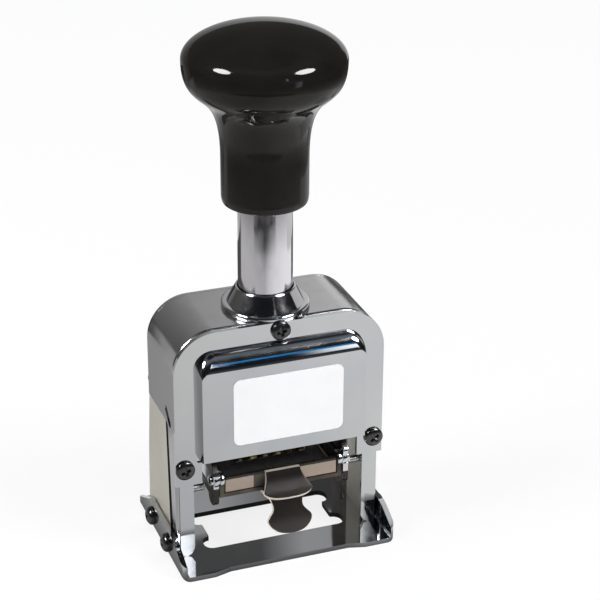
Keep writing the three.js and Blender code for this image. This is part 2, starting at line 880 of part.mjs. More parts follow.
const plateScrewLength = plateSheet + housingWall + screwPastFrame;
for (const [name, x, z] of screwPlaces(frontScrewHalfSpan, frontScrewZ)) {
  const geometry = screw(panHeadRadius, panHeadHeight, plateScrewLength);
  const mesh = add(machine, `front_screw_${name}`, geometry, blackEnamel());
  mesh.position.set(x, frontPlateY, z);
  mesh.rotation.x = Math.PI / 2;
}
for (const [name, x, z] of screwPlaces(rearScrewHalfSpan, rearScrewZ)) {
  const geometry = screw(panHeadRadius, panHeadHeight, plateScrewLength);
  const mesh = add(machine, `rear_screw_${name}`, geometry, blackEnamel());
  mesh.position.set(x, rearPlateY, z);
  mesh.rotation.x = -Math.PI / 2;
}
const baseScrewLength = baseWidth / 2 - sidePlateInner - baseScrewPastPlate;
for (const [name, side] of sides) {
  for (const [end, y] of [['front', baseScrewFrontY], ['rear', baseScrewRearY]]) {
    const geometry = screw(domeHeadRadius, domeHeadHeight, baseScrewLength);
    const mesh = add(machine, `base_screw_${name}_${end}`, geometry, blackEnamel());
    mesh.position.set(side * baseWidth / 2, y, baseScrewZ);
    mesh.rotation.y = side * Math.PI / 2;
  }
}

// Knob and stem
function knobProfile() {
  const bore = stemRadius + gap;
  const boreTop = stemInKnob + gap;
  const steps = 6;
  const lip = new THREE.QuadraticBezierCurve(
    new THREE.Vector2(knobLipRadius, 0),
    new THREE.Vector2(knobNeckRadius, 0),
    new THREE.Vector2(knobNeckRadius, knobLipHeight),
  );
  const flare = new THREE.CubicBezierCurve(
    new THREE.Vector2(knobNeckRadius, knobNeckHeight),
    new THREE.Vector2(knobNeckRadius, knobNeckHeight + knobFlareLow),
    new THREE.Vector2(knobCapRadius, knobWidestHeight - knobFlareHigh),
    new THREE.Vector2(knobCapRadius, knobWidestHeight),
  );
  const dome = new THREE.EllipseCurve(
    0,
    knobWidestHeight,
    knobCapRadius,
    knobHeight - knobWidestHeight,
    0,
    Math.PI / 2,
  );
  const rounded = [lip, flare, dome].flatMap((curve) => curve.getPoints(steps));
  const points = rounded.map((point) => [point.x, point.y]);
  points[points.length - 1][0] = 0;
  return [[0, boreTop], [bore, boreTop], [bore, 0], ...points];
}

const knob = add(plunger, 'knob', turned(knobProfile(), 2 * roundSegments), blackEnamel());
knob.position.z = knobBottom;

function stemTube() {
  const tube = alongZ(
    circle(0, 0, stemRadius, 2 * roundSegments),
    stemFoot,
    stemTop,
    [circle(0, 0, stemBore, 2 * roundSegments)],
  );
  const half = crossPinRadius + crossPinPlay;
  const slots = alongX(outline([
    [-half, crossPinZ - half, crossPinRadius],
    [half, crossPinZ - half, crossPinRadius],
    [half, crossPinZ + stroke + half, crossPinRadius],
    [-half, crossPinZ + stroke + half, crossPinRadius],
  ]), -stemRadius - overrun, stemRadius + overrun);
  return cut(tube, slots);
}

add(plunger, 'stem_tube', stemTube(), chrome());

const plug = alongZ(circle(0, 0, stemBore - gap), plugBottom, plugBottom + plugHeight);
add(plunger, 'stem_plug', plug, steel());

// The return spring is one tube wound along a helix whose ends are cut square
function springGeometry() {
  const steps = springTurns * springStepsPerTurn;
  const rise = (springLength - 2 * springWireRadius) / steps;
  const place = [];
  const index = [];
  for (let i = 0; i <= steps; i += 1) {
    const turn = Math.PI * 2 * i / springStepsPerTurn;
    const height = springBottom + springWireRadius + rise * i;
    for (let j = 0; j < springSides; j += 1) {
      const angle = Math.PI * 2 * j / springSides;
      const reach = springCoilRadius + springWireRadius * Math.cos(angle);
      place.push(reach * Math.cos(turn), reach * Math.sin(turn), height + springWireRadius * Math.sin(angle));
    }
  }
  for (let i = 0; i < steps; i += 1) {
    for (let j = 0; j < springSides; j += 1) {
      const a = i * springSides + j;
      const b = i * springSides + (j + 1) % springSides;
      index.push(a, b, b + springSides, a, b + springSides, a + springSides);
    }
  }
  const last = steps * springSides;
  for (let j = 1; j + 1 < springSides; j += 1) {
    index.push(0, j + 1, j);
    index.push(last, last + j, last + j + 1);
  }
  const geometry = new THREE.BufferGeometry();
  geometry.setAttribute('position', new THREE.Float32BufferAttribute(place, 3));
  geometry.setIndex(index);
  return facingOut(geometry);
}

add(plunger, 'return_spring', springGeometry(), springSteel());

const seat = alongZ(circle(0, 0, stemBore - gap), seatBottom, seatBottom + seatThickness);
const seatMesh = add(machine, 'spring_seat', seat, steel());
seatMesh.position.y = axisY;

const crossPin = alongX(circle(axisY, crossPinZ, crossPinRadius), -sidePlateOuter, sidePlateOuter);
add(machine, 'cross_pin', crossPin, steel());

// Crosshead, cheeks and axle
function crosshead() {
  const middle = cheekHalfGap + cheekSheet;
  const plan = outline(mirrored([
    [-middle, -crossheadHalfDepth],
    [-middle, crossheadEndFrontY],
    [-crossheadEndHalfWidth, crossheadEndFrontY],
    [-crossheadEndHalfWidth, crossheadEndRearY],
    [-middle, crossheadEndRearY],
    [-middle, crossheadHalfDepth],
  ]));
  return alongZ(plan, crossheadBottom, crossheadBottom + crossheadThickness);
}

add(carriage, 'crosshead', crosshead(), steel());

for (const [name, side] of sides) {
  const shoe = alongX(
    rectangle(crossheadEndFrontY, crossheadBottom, crossheadEndRearY, crossheadBottom + crossheadThickness),
    side * crossheadEndHalfWidth,
    side * (sidePlateInner - gap),
  );
  add(carriage, `guide_shoe_${name}`, shoe, inkedBrass());
  const cheek = alongX(outline([
    [-cheekEyeHalf, crossheadBottom],
    [-cheekEyeHalf, -cheekEyeHalf, cheekRounding],
    [cheekEyeHalf, -cheekEyeHalf, cheekRounding],
    [cheekEyeHalf, cheekLugBottom, cheekSmallRounding],
    [cheekLugRearY, cheekLugBottom, cheekSmallRounding],
    [cheekLugRearY, crossheadBottom],
  ]), side * cheekHalfGap, side * (cheekHalfGap + cheekSheet), [circle(0, 0, axleRadius + gap)]);
  add(carriage, `cheek_${name}`, cheek, steel());
}

add(carriage, 'wheel_axle', alongX(circle(0, 0, axleRadius), -axleHalfLength, axleHalfLength), steel());

// Each axle nut carries the round shoulder on which an arm of the ink frame swings
for (const [name, side] of sides) {
  const bore = circle(0, 0, axleRadius + gap);
  const shoulderFrom = cheekHalfGap + cheekSheet;
  const shoulder = alongX(circle(0, 0, shoulderRadius), side * shoulderFrom, side * nutFace, [bore]);
  const hexagon = alongX(
    circle(0, 0, nutHexRadius, 6),
    side * (nutFace - nutThickness / 8),
    side * axleHalfLength,
    [bore],
  );
  const clearance = alongX(circle(0, 0, nutHexRadius + overrun), side * armInner, side * nutFace);
  add(carriage, `axle_nut_${name}`, join(shoulder, cut(hexagon, clearance)), steel());
}

// Number wheels: a ring of ten type faces with a ratchet beside it
function polar(radius, angle) {
  return new THREE.Vector2(radius * Math.cos(angle), radius * Math.sin(angle));
}

function typeOutline() {
  const step = Math.PI * 2 / wheelFaces;
  const points = [];
  for (let i = 0; i < wheelFaces; i += 1) {
    const middle = step * i - Math.PI / 2;
    points.push(polar(wheelRadius - wheelGrooveDepth, middle - step * wheelGrooveShare));
    points.push(polar(wheelRadius, middle - step * wheelFaceShare));
    points.push(polar(wheelRadius, middle + step * wheelFaceShare));
    points.push(polar(wheelRadius - wheelGrooveDepth, middle + step * wheelGrooveShare));
  }
  return points;
}

function ratchetOutline() {
  const step = Math.PI * 2 / wheelFaces;
  const points = [];
  for (let i = 0; i < wheelFaces; i += 1) {
    points.push(polar(ratchetRadius, step * i));
    points.push(polar(ratchetRadius - ratchetToothDepth, step * (i + ratchetToothShare)));
  }
  return points;
}

function numberWheel() {
  const half = wheelWidth / 2;
  const bore = circle(0, 0, axleRadius + gap, roundSegments / 2);
  const type = alongX(typeOutline(), -half, wheelTypeWidth - half, [bore]);
  const ratchet = alongX(ratchetOutline(), wheelTypeWidth / 2 - half, half, [bore]);
  return join(type, ratchet);
}

for (let i = 0; i < wheelCount; i += 1) {
  const wheel = add(carriage, `number_wheel_${i + 1}`, numberWheel(), inkedBrass());
  wheel.position.x = (i - (wheelCount - 1) / 2) * wheelPitch;
}

// Detent comb: a bar between the cheeks with one spring finger on each wheel
function detentComb() {
  const half = cheekHalfGap - gap;
  const bar = alongX(
    rectangle(combInner, combBarStart, combInner + combBarThickness, combHalfLength),
    -half,
    half,
  );
  const fingers = [];
  for (let i = 0; i < wheelCount; i += 1) {
    const x = (i - (wheelCount - 1) / 2) * wheelPitch;
    fingers.push(alongX(
      rectangle(combInner, -combHalfLength, combInner + combFingerThickness, (combBarStart + combHalfLength) / 2),
      x - combFingerHalfWidth,
      x + combFingerHalfWidth,
    ));
  }
  return join(bar, ...fingers);
}

const comb = add(carriage, 'detent_comb', detentComb(), springSteel());
comb.rotation.x = combAngle;

// Feed lever and its pawl comb, which swing on the axle beside the last wheel
const feed = new THREE.Group();
feed.rotation.x = feedRestAngle;
carriage.add(feed);
const feedFace = (wheelCount - 1) / 2 * wheelPitch + wheelWidth / 2 + gap;

function feedLever() {
  const eye = alongX(circle(0, 0, feedEyeRadius), feedFace, feedFace + feedSheet);
  const arm = alongX(outline([
    [0, -feedArmHalfWidth],
    [feedArmReach, -feedArmHalfWidth, feedArmHalfWidth / 2],
    [feedArmReach, feedArmHalfWidth, feedArmHalfWidth / 2],
    [0, feedArmHalfWidth],
  ]), feedFace, feedFace + feedSheet);
  const bore = alongX(circle(0, 0, axleRadius + gap), feedFace - overrun, feedFace + feedSheet + overrun);
  return cut(join(eye, arm), bore);
}

add(feed, 'feed_lever', feedLever(), steel());

function feedPawl() {
  const left = -(wheelCount - 1) / 2 * wheelPitch - wheelWidth / 2;
  const bar = alongX(
    rectangle(pawlBarInner, -pawlHalfThickness, pawlOuter, pawlHalfThickness),
    left,
    feedFace,
  );
  const teeth = [];
  for (let i = 0; i < wheelCount; i += 1) {
    const x = (i - (wheelCount - 1) / 2) * wheelPitch;
    teeth.push(alongX(
      outline([
        [pawlInner, -pawlHalfThickness],
        [(pawlBarInner + pawlOuter) / 2, -pawlHalfThickness],
        [(pawlBarInner + pawlOuter) / 2, pawlHalfThickness],
      ]),
      x - pawlToothHalfWidth,
      x + pawlToothHalfWidth,
    ));
  }
  return join(bar, ...teeth);
}

add(feed, 'feed_pawl', feedPawl(), springSteel());

// Ink frame
const inkFrame = new THREE.Group();
carriage.add(inkFrame);

function inkArm(side) {
  return alongX(outline([
    [-armHeadHalf, armHeadHalf, armHeadRounding],
    [armFrontY, armFrontTop, armFrontRounding],
    [armFrontY, armFootBottom, armFootRounding],
    [armFrontY + armFootWidth, armFootBottom, armFootRounding],
    [armFrontY + armFootWidth + armFrontRounding / 2, armBottom, armFrontRounding / 2],
    [armRearHalf, armBottom, armFrontRounding],
    [armRearHalf, armHeadHalf, armHeadRounding],
  ]), side * armInner, side * armOuter, [
    circle(0, 0, shoulderRadius + gap),
    circle(cradlePinY, cradlePinZ, cradlePinRadius + screwClearance),
  ]);
}

function inkCradle() {
  const bottom = cradleFloorTop - cradleSheet;
  const channel = alongY(outline([
    [-cradleOuter, bottom],
    [cradleOuter, bottom],
    [cradleOuter, cradleSideTop],
    [cradleInner, cradleSideTop],
    [cradleInner, cradleFloorTop],
    [-cradleInner, cradleFloorTop],
    [-cradleInner, cradleSideTop],
    [-cradleOuter, cradleSideTop],
  ]), cradleFrontY, cradleRearY);
  const reach = cradleOuter + overrun;
  return cut(channel, alongX(circle(cradlePinY, cradlePinZ, cradlePinRadius + screwClearance), -reach, reach));
}

function cradlePin(side) {
  const shank = alongX(circle(cradlePinY, cradlePinZ, cradlePinRadius), side * cradleInner, side * nutFace);
  const head = alongX(
    circle(cradlePinY, cradlePinZ, cradlePinHeadRadius),
    side * armOuter,
    side * (armOuter + cradlePinHead),
  );
  return join(shank, head);
}

add(inkFrame, 'ink_cradle', inkCradle(), nickel());
for (const [name, side] of sides) {
  add(inkFrame, `ink_arm_${name}`, inkArm(side), steel());
  add(inkFrame, `cradle_pin_${name}`, cradlePin(side), steel());
}

// Thumb tab: a strip under the cradle that bends forward and down, waisted as seen from the front
function thumbTab() {
  const rootZ = cradleFloorTop - cradleSheet - tabSheet / 2;
  const strip = alongX(band([
    [thumbTabRootY, rootZ],
    [thumbTabBendY, rootZ],
    [thumbTabNeckY, thumbTabNeckZ],
    [thumbTabTipY, thumbTabTipZ],
  ], tabSheet), -thumbTabRootHalf - overrun, thumbTabRootHalf + overrun);
  const top = rootZ + tabSheet;
  const front = alongY(outline(mirrored([
    [-thumbTabRootHalf, top],
    [-thumbTabNeckHalf, thumbTabNeckTop, thumbTabSmallRounding],
    [-thumbTabNeckHalf, thumbTabNeckLow, thumbTabNeckRounding],
    [-thumbTabWideHalf, thumbTabWideZ, thumbTabWideRounding],
    [-thumbTabTipHalf, thumbTabTipZ, thumbTabTipRounding],
  ])), thumbTabTipY - overrun, thumbTabRootY + overrun);
  return common(strip, front);
}

add(inkFrame, 'thumb_tab', thumbTab(), blackOxide());

// Pad tray
const tray = new THREE.Group();
inkFrame.add(tray);

function padTray() {
  const floor = alongZ(
    rectangle(-trayHalfWidth, cradleFrontY, trayHalfWidth, cradleRearY),
    trayFloorBottom,
    padBottom,
  );
  const bar = alongX(
    rectangle(cradleFrontY, trayFloorBottom, cradleFrontY + trayBarThickness, trayBarTop),
    -trayHalfWidth,
    trayHalfWidth,
  );
  const walls = sides.map(([, side]) => alongX(
    rectangle(cradleFrontY, trayFloorBottom, cradleRearY, trayWallTop),
    side * (trayHalfWidth - traySheet),
    side * trayHalfWidth,
  ));
  return join(floor, bar, ...walls);
}

add(tray, 'pad_tray', padTray(), nickel());

const padHalfWidth = trayHalfWidth - traySheet - gap;
const padFrontY = cradleFrontY + trayBarThickness + gap;
const pad = alongZ(rectangle(-padHalfWidth, padFrontY, padHalfWidth, cradleRearY - gap), padBottom, padTop);
add(tray, 'ink_pad', pad, inkedFelt());

// Finger tab: a strip down the front of the tray bar, bent forward and widening like a fan
function fingerTab() {
  const rootY = cradleFrontY - tabSheet / 2;
  const strip = alongX(band([
    [rootY, fanTop],
    [rootY, fanBendZ],
    [fanTipY, fanTipZ],
  ], tabSheet), -fanWideHalf - overrun, fanWideHalf + overrun);
  const edge = [];
  for (let i = 0; i <= fanBowSteps; i += 1) {
    const share = i / fanBowSteps;
    const sag = 4 * fanBow * share * (1 - share);
    edge.push(new THREE.Vector2(fanWideHalf * (2 * share - 1), fanWideZ - sag));
  }
  const front = alongY([
    ...edge,
    new THREE.Vector2(fanTopHalf, fanBendZ),
    new THREE.Vector2(fanTopHalf, fanTop + overrun),
    new THREE.Vector2(-fanTopHalf, fanTop + overrun),
    new THREE.Vector2(-fanTopHalf, fanBendZ),
  ], fanTipY - overrun, cradleFrontY + overrun);
  return common(strip, front);
}

add(tray, 'finger_tab', fingerTab(), blackOxide());

for (const [name, side] of sides) {
  const pin = alongX(circle(stopPinY, stopPinZ, stopPinRadius), side * stopPinInner, side * sidePlateInner);
  add(machine, `stop_pin_${name}`, pin, steel());
}

// Repeat selector: a dial on the rear plate and a lever on its pivot
const selector = new THREE.Group();
selector.position.set(0, rearPlateY, selectorZ);
machine.add(selector);
const leverFace = dialSheet + gap;
const bossFace = leverFace + selectorSheet;

const dial = alongY(circle(0, 0, dialRadius, 2 * roundSegments), 0, dialSheet, [
  circle(0, 0, selectorPinRadius + screwClearance),
]);
add(selector, 'selector_dial', dial, steel());

const pivotShank = alongY(circle(0, 0, selectorPinRadius), -plateSheet, bossFace + gap);
const pivotHead = alongY(
  circle(0, 0, selectorHeadRadius),
  bossFace + gap,
  bossFace + gap + selectorHeadHeight,
);
add(selector, 'selector_pivot', join(pivotShank, pivotHead), steel());

function selectorLever() {
  const eye = alongY(circle(0, 0, selectorEyeRadius), leverFace, bossFace);
  const arm = alongY(outline([
    [-selectorEyeRadius, 0],
    [selectorEyeRadius, 0],
    [selectorTipRadius, dialRadius + selectorTipRadius, selectorTipRadius / 2],
    [-selectorTipRadius, dialRadius + selectorTipRadius, selectorTipRadius / 2],
  ]), leverFace, bossFace);
  const bore = alongY(circle(0, 0, selectorPinRadius + screwClearance), leverFace - overrun, bossFace + overrun);
  return cut(join(eye, arm), bore);
}

const selectorArm = new THREE.Group();
selectorArm.rotation.y = selectorRestAngle;
selector.add(selectorArm);
add(selectorArm, 'selector_lever', selectorLever(), steel());
const grip = turned([
  [0, 0],
  [selectorKnobRadius * 0.7, 0],
  [selectorKnobRadius * 0.7, selectorKnobHeight / 3],
  [selectorKnobRadius, selectorKnobHeight / 2],
  [selectorKnobRadius, selectorKnobHeight * 0.85],
  [selectorKnobRadius * 0.7, selectorKnobHeight],
  [0, selectorKnobHeight],
]);
const gripMesh = add(selectorArm, 'selector_grip', grip, blackEnamel());
gripMesh.position.set(0, bossFace, dialRadius);
gripMesh.rotation.x = -Math.PI / 2;

export default machine;
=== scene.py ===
import bpy, bmesh, json, math
from mathutils import Matrix, Vector


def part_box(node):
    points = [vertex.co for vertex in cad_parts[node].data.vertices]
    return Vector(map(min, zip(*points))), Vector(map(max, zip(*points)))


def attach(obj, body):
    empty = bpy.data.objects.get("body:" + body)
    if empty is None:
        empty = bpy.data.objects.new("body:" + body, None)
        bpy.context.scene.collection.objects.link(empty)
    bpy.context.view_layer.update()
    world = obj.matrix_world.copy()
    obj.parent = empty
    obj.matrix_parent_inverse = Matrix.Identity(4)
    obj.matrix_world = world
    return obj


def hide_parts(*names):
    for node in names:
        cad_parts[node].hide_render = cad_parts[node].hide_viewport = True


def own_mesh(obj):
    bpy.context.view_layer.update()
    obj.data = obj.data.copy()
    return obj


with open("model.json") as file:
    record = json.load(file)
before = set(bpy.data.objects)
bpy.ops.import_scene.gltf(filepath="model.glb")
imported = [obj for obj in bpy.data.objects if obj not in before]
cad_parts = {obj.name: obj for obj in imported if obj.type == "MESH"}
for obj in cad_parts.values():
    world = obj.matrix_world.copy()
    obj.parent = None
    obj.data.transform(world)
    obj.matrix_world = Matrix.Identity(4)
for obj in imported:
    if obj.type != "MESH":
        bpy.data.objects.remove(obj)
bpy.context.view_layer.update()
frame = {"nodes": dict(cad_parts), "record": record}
NODES = frame["nodes"]
BODY_OF = {}
for body_name, body_nodes in frame["record"]["behaviour"]["bodies"].items():
    for node_name in body_nodes:
        BODY_OF[node_name] = body_name
SLOT_OF = {row["node"]: row["material_slot"] for row in frame["record"]["subparts"]}
MM = 0.001
# The plunger's axis is upright, at x 0 and y AXIS_Y
AXIS_Y = -1.2

# Camera: fitted to the photograph
IMAGE_PX = 600
FOCAL_PX = 1848.12
SENSOR_WIDTH = 36
DISTANCE = 505.7
TARGET = Vector((5.20, -15.02, 78.62))
AZIMUTH, ELEVATION, ROLL = (math.radians(a) for a in (20.48, 25.31, 0.30))


def make_camera():
    turn_sin, turn_cos = math.sin(AZIMUTH), math.cos(AZIMUTH)
    tilt_sin, tilt_cos = math.sin(ELEVATION), math.cos(ELEVATION)
    forward = Vector((turn_sin * tilt_cos, turn_cos * tilt_cos, -tilt_sin))
    level = Vector((turn_cos, -turn_sin, 0))
    rise = Vector((turn_sin * tilt_sin, turn_cos * tilt_sin, tilt_cos))
    right = level * math.cos(ROLL) + rise * math.sin(ROLL)
    up = rise * math.cos(ROLL) - level * math.sin(ROLL)
    data = bpy.data.cameras.new("camera")
    data.sensor_width = SENSOR_WIDTH
    data.lens = FOCAL_PX / IMAGE_PX * SENSOR_WIDTH
    data.clip_start, data.clip_end = 0.01, 20
    camera = bpy.data.objects.new("camera", data)
    bpy.context.scene.collection.objects.link(camera)
    turn = Matrix((right, up, -forward)).transposed().to_4x4()
    camera.matrix_world = Matrix.Translation((TARGET - forward * DISTANCE) * MM) @ turn
    bpy.context.scene.camera = camera


make_camera()

# Shapes. All helpers take millimetres.


def arc(cu, cv, radius, start, end, steps):
    """Points from one angle to another, both ends included."""
    turn = (end - start) / steps
    angles = [start + turn * i for i in range(steps + 1)]
    return [(cu + radius * math.cos(a), cv + radius * math.sin(a)) for a in angles]


def outline(corners, step=math.radians(7)):
    """A loop through corners (u, v) or, where they are rounded, (u, v, radius)."""
    points, count = [], len(corners)
    for i, corner in enumerate(corners):
        here = Vector(corner[:2])
        radius = corner[2] if len(corner) > 2 else 0
        if radius == 0:
            points.append(tuple(here))
            continue
        back = (Vector(corners[i - 1][:2]) - here).normalized()
        ahead = (Vector(corners[(i + 1) % count][:2]) - here).normalized()
        half = math.acos(max(-1, min(1, back.dot(ahead)))) / 2
        centre = here + (back + ahead).normalized() * radius / math.sin(half)
        start = here + back * radius / math.tan(half) - centre
        end = here + ahead * radius / math.tan(half) - centre
        a0 = math.atan2(start.y, start.x)
        turn = math.atan2(start.x * end.y - start.y * end.x, start.dot(end))
        points += arc(centre.x, centre.y, radius, a0, a0 + turn, max(1, math.ceil(abs(turn) / step)))
    return points


def circle(cu, cv, radius, count):
    return arc(cu, cv, radius, 0, 2 * math.pi, count)[:-1]


def mirrored(corners):
    """Closes a loop that is given for negative u only."""
    return corners + [(-c[0], *c[1:]) for c in reversed(corners)]


def make_object(name, verts, faces):
    mesh = bpy.data.meshes.new(name)
    mesh.from_pydata([Vector(v) * MM for v in verts], [], faces)
    obj = bpy.data.objects.new(name, mesh)
    bpy.context.scene.collection.objects.link(obj)
    bm = bmesh.new()
    bm.from_mesh(mesh)
    bmesh.ops.remove_doubles(bm, verts=bm.verts, dist=1e-7)
    bmesh.ops.recalc_face_normals(bm, faces=bm.faces)
    bm.to_mesh(mesh)
    bm.free()
    return obj


def place(axis, u, v, w):
    return {"X": (w, u, v), "Y": (u, w, v), "Z": (u, v, w)}[axis]


def loft(name, axis, sections):
    """A solid through sections, each a place along the axis and a loop."""
    count = len(sections[0][1])
    verts = [place(axis, u, v, w) for w, loop in sections for u, v in loop]
    faces = [list(range(count)), list(range(len(verts) - count, len(verts)))]
    for ring in range(len(sections) - 1):
        for i in range(count):
            a, b = ring * count + i, ring * count + (i + 1) % count
            faces.append((a, b, b + count, a + count))
    return make_object(name, verts, faces)


def prism(name, axis, loop, low, high):
    return loft(name, axis, [(low, loop), (high, loop)])


def turned(name, profile, segments, closed=False):
    """Turns (radius, height) points round the Z axis."""
    verts, faces, rows = [], [], []
    around = [2 * math.pi * i / segments for i in range(segments)]
    for radius, height in profile:
        if radius < 1e-6:
            rows.append([len(verts)])
            verts.append((0, 0, height))
        else:
            rows.append(list(range(len(verts), len(verts) + segments)))
            verts += [(radius * math.cos(a), radius * math.sin(a), height) for a in around]
    pairs = list(zip(rows, rows[1:])) + ([(rows[-1], rows[0])] if closed else [])
    for low, high in pairs:
        for i in range(segments):
            j = (i + 1) % segments
            if len(low) == 1:
                faces.append((low[0], high[i], high[j]))
            elif len(high) == 1:
                faces.append((low[i], high[0], low[j]))
            else:
                faces.append((low[i], low[j], high[j], high[i]))
    return make_object(name, verts, faces)


def moved(obj, x=0, y=0, z=0, turn=None):
    matrix = Matrix.Translation(Vector((x, y, z)) * MM)
    obj.data.transform(matrix @ turn.to_4x4() if turn else matrix)


def bake(obj):
    """Applies the modifiers."""
    graph = bpy.context.evaluated_depsgraph_get()
    mesh = bpy.data.meshes.new_from_object(obj.evaluated_get(graph))
    obj.modifiers.clear()
    obj.data = mesh


def combine(obj, operation, *tools):
    for tool in tools:
        modifier = obj.modifiers.new("combine", "BOOLEAN")
        modifier.operation = operation
        modifier.solver = "EXACT"
        modifier.object = tool
        bake(obj)
        bpy.data.objects.remove(tool)


def cut(obj, *tools):
    combine(obj, "DIFFERENCE", *tools)


def join(obj, *tools):
    combine(obj, "UNION", *tools)


def common(obj, *tools):
    combine(obj, "INTERSECT", *tools)


def two_slots(obj, index):
    """Gives a solid two material slots, bright chrome and the painted shade, and all its faces one of them."""
    for material in (CHROME_BRIGHT, PAINTED_SHADE)[len(obj.data.materials):]:
        obj.data.materials.append(material)
    for face in obj.data.polygons:
        face.material_index = index
    return obj


def dark_cut(obj, *tools):
    """A cut whose new faces take the second material, the painted shade."""
    cut(obj, *[two_slots(tool, 1) for tool in tools])


def soften(obj, width, segments=2, angle=32, material=-1):
    """Rounds the edges that are sharper than the angle, and shades the others smoothly."""
    if width:
        bm = bmesh.new()
        bm.from_mesh(obj.data)
        bmesh.ops.remove_doubles(bm, verts=bm.verts, dist=2e-6)
        bmesh.ops.dissolve_limit(bm, angle_limit=math.radians(0.4), verts=bm.verts, edges=bm.edges)
        bm.to_mesh(obj.data)
        bm.free()
        bevel = obj.modifiers.new("bevel", "BEVEL")
        bevel.width = width * MM
        bevel.segments = segments
        bevel.limit_method = "ANGLE"
        bevel.angle_limit = math.radians(angle)
        bevel.use_clamp_overlap = True
        bevel.miter_outer = "MITER_ARC"
        bevel.material = material
        bake(obj)
    bm = bmesh.new()
    bm.from_mesh(obj.data)
    for face in bm.faces:
        face.smooth = True
    for edge in bm.edges:
        edge.smooth = len(edge.link_faces) == 2 and edge.calc_face_angle(0) < math.radians(angle)
    bm.to_mesh(obj.data)
    bm.free()
    weighted = obj.modifiers.new("normals", "WEIGHTED_NORMAL")
    weighted.keep_sharp = True
    weighted.weight = 80


# Materials


def node(tree, kind, inputs=(), **settings):
    """Adds a node. The inputs map a socket to a value or to another node's output."""
    made = tree.nodes.new(kind)
    for key, value in settings.items():
        setattr(made, key, value)
    for key, value in dict(inputs).items():
        if isinstance(value, bpy.types.NodeSocket):
            tree.links.new(value, made.inputs[key])
        else:
            made.inputs[key].default_value = value
    return made


def ramp(tree, value, stops):
    """Colours between stops, each a position and a colour."""
    made = node(tree, "ShaderNodeValToRGB", {"Fac": value})
    elements = made.color_ramp.elements
    elements[0].position, elements[-1].position = stops[0][0], stops[-1][0]
    for position, colour in stops[1:-1]:
        elements.new(position)
    for element, (position, colour) in zip(elements, stops):
        element.position, element.color = position, (*colour, 1)
    return made.outputs["Color"]


def coordinates(tree, kind):
    return node(tree, "ShaderNodeTexCoord").outputs[kind]


def noise(tree, scale, detail, stretch=(1, 1, 1)):
    mapping = node(tree, "ShaderNodeMapping", {"Vector": coordinates(tree, "Object"), "Scale": stretch})
    inputs = {"Vector": mapping.outputs["Vector"], "Scale": scale, "Detail": detail}
    return node(tree, "ShaderNodeTexNoise", inputs).outputs["Fac"]


def bumped(tree, shader, value, strength, distance):
    bump = node(tree, "ShaderNodeBump", {"Height": value, "Strength": strength, "Distance": distance * MM})
    tree.links.new(bump.outputs["Normal"], shader.inputs["Normal"])


# Most of a noise's values lie between these two
NOISE_LOW, NOISE_HIGH = 0.3, 0.7


def finish(name, colours, colour_noise, rough, rough_noise, stretch=(1, 1, 1)):
    """A material whose colour and roughness wander between two values. A noise is its scale and detail."""
    material = bpy.data.materials.new(name)
    material.use_nodes = True
    tree = material.node_tree
    shader = tree.nodes["Principled BSDF"]
    clouds = ramp(tree, noise(tree, *colour_noise, stretch), list(zip((NOISE_LOW, NOISE_HIGH), colours)))
    tree.links.new(clouds, shader.inputs["Base Color"])
    spread = node(tree, "ShaderNodeMapRange", {
        "Value": noise(tree, *rough_noise, stretch), "From Min": NOISE_LOW, "From Max": NOISE_HIGH,
        "To Min": rough[0], "To Max": rough[1],
    })
    tree.links.new(spread.outputs["Result"], shader.inputs["Roughness"])
    return material, tree, shader


def metal(name, low, high, rough, scale, stretch=(1, 1, 1), ripple=None, metallic=1.0, grain=0.0):
    """The ripple is the scale of the waves in the surface, and the grain the share of fine noise in them."""
    material, tree, shader = finish(name, (low, high), (scale, 4), rough, (scale * 7, 5), stretch)
    shader.inputs["Metallic"].default_value = metallic
    if ripple:
        waves = noise(tree, ripple, 1.5)
        if grain:
            fine = noise(tree, 2200, 2, stretch)
            waves = node(tree, "ShaderNodeMath", {0: fine, 1: grain, 2: waves}, operation="MULTIPLY_ADD").outputs[0]
        bumped(tree, shader, waves, 0.1, 0.25)
    return material


def glossy_black(name, rough, level, colour):
    light = tuple(c * 1.6 + 0.002 for c in colour)
    material, tree, shader = finish(name, (colour, light), (45, 3), (rough, rough * 1.8), (700, 4))
    shader.inputs["Specular IOR Level"].default_value = level
    bumped(tree, shader, noise(tree, 120, 2), 0.02, 0.1)
    return material


def label_material():
    colours = ((0.90, 0.90, 0.90), (0.94, 0.94, 0.94))
    material, tree, shader = finish("label_white", colours, (80, 3), (0.35, 0.50), (900, 4))
    bumped(tree, shader, noise(tree, 2500, 2), 0.04, 0.05)
    return material


def felt_material():
    colours = ((0.010, 0.010, 0.010), (0.034, 0.032, 0.030))
    material, tree, shader = finish("inked_felt", colours, (900, 6), (0.55, 0.95), (700, 5))
    shader.inputs["Sheen Weight"].default_value = 0.25
    bumped(tree, shader, noise(tree, 1800, 6), 0.9, 0.25)
    return material


CHROME_HOUSING = metal(
    "chrome_housing", (0.49, 0.49, 0.50), (0.57, 0.57, 0.58), (0.15, 0.24), 25, ripple=60, grain=0.03)
CHROME_PLATE = metal(
    "chrome_plate", (0.50, 0.52, 0.545), (0.605, 0.605, 0.60), (0.05, 0.10), 26, ripple=70)
CHROME_BRIGHT = metal(
    "chrome_bright", (0.62, 0.63, 0.65), (0.70, 0.71, 0.73), (0.04, 0.10), 30, ripple=80)
CHROME_TUBE = metal(
    "chrome_tube", (0.68, 0.65, 0.70), (0.77, 0.76, 0.78), (0.08, 0.16), 60, (1, 1, 0.4), ripple=90)
CHROME_COLLAR = metal(
    "chrome_collar", (0.52, 0.52, 0.54), (0.64, 0.64, 0.66), (0.06, 0.12), 40, ripple=90)
# painted shade: a near-black finish for joints, cut walls, gaps and dimples where shade falls
PAINTED_SHADE = metal(
    "painted_shade_dark", (0.010, 0.010, 0.010), (0.030, 0.028, 0.026), (0.45, 0.70), 90, metallic=0.2)
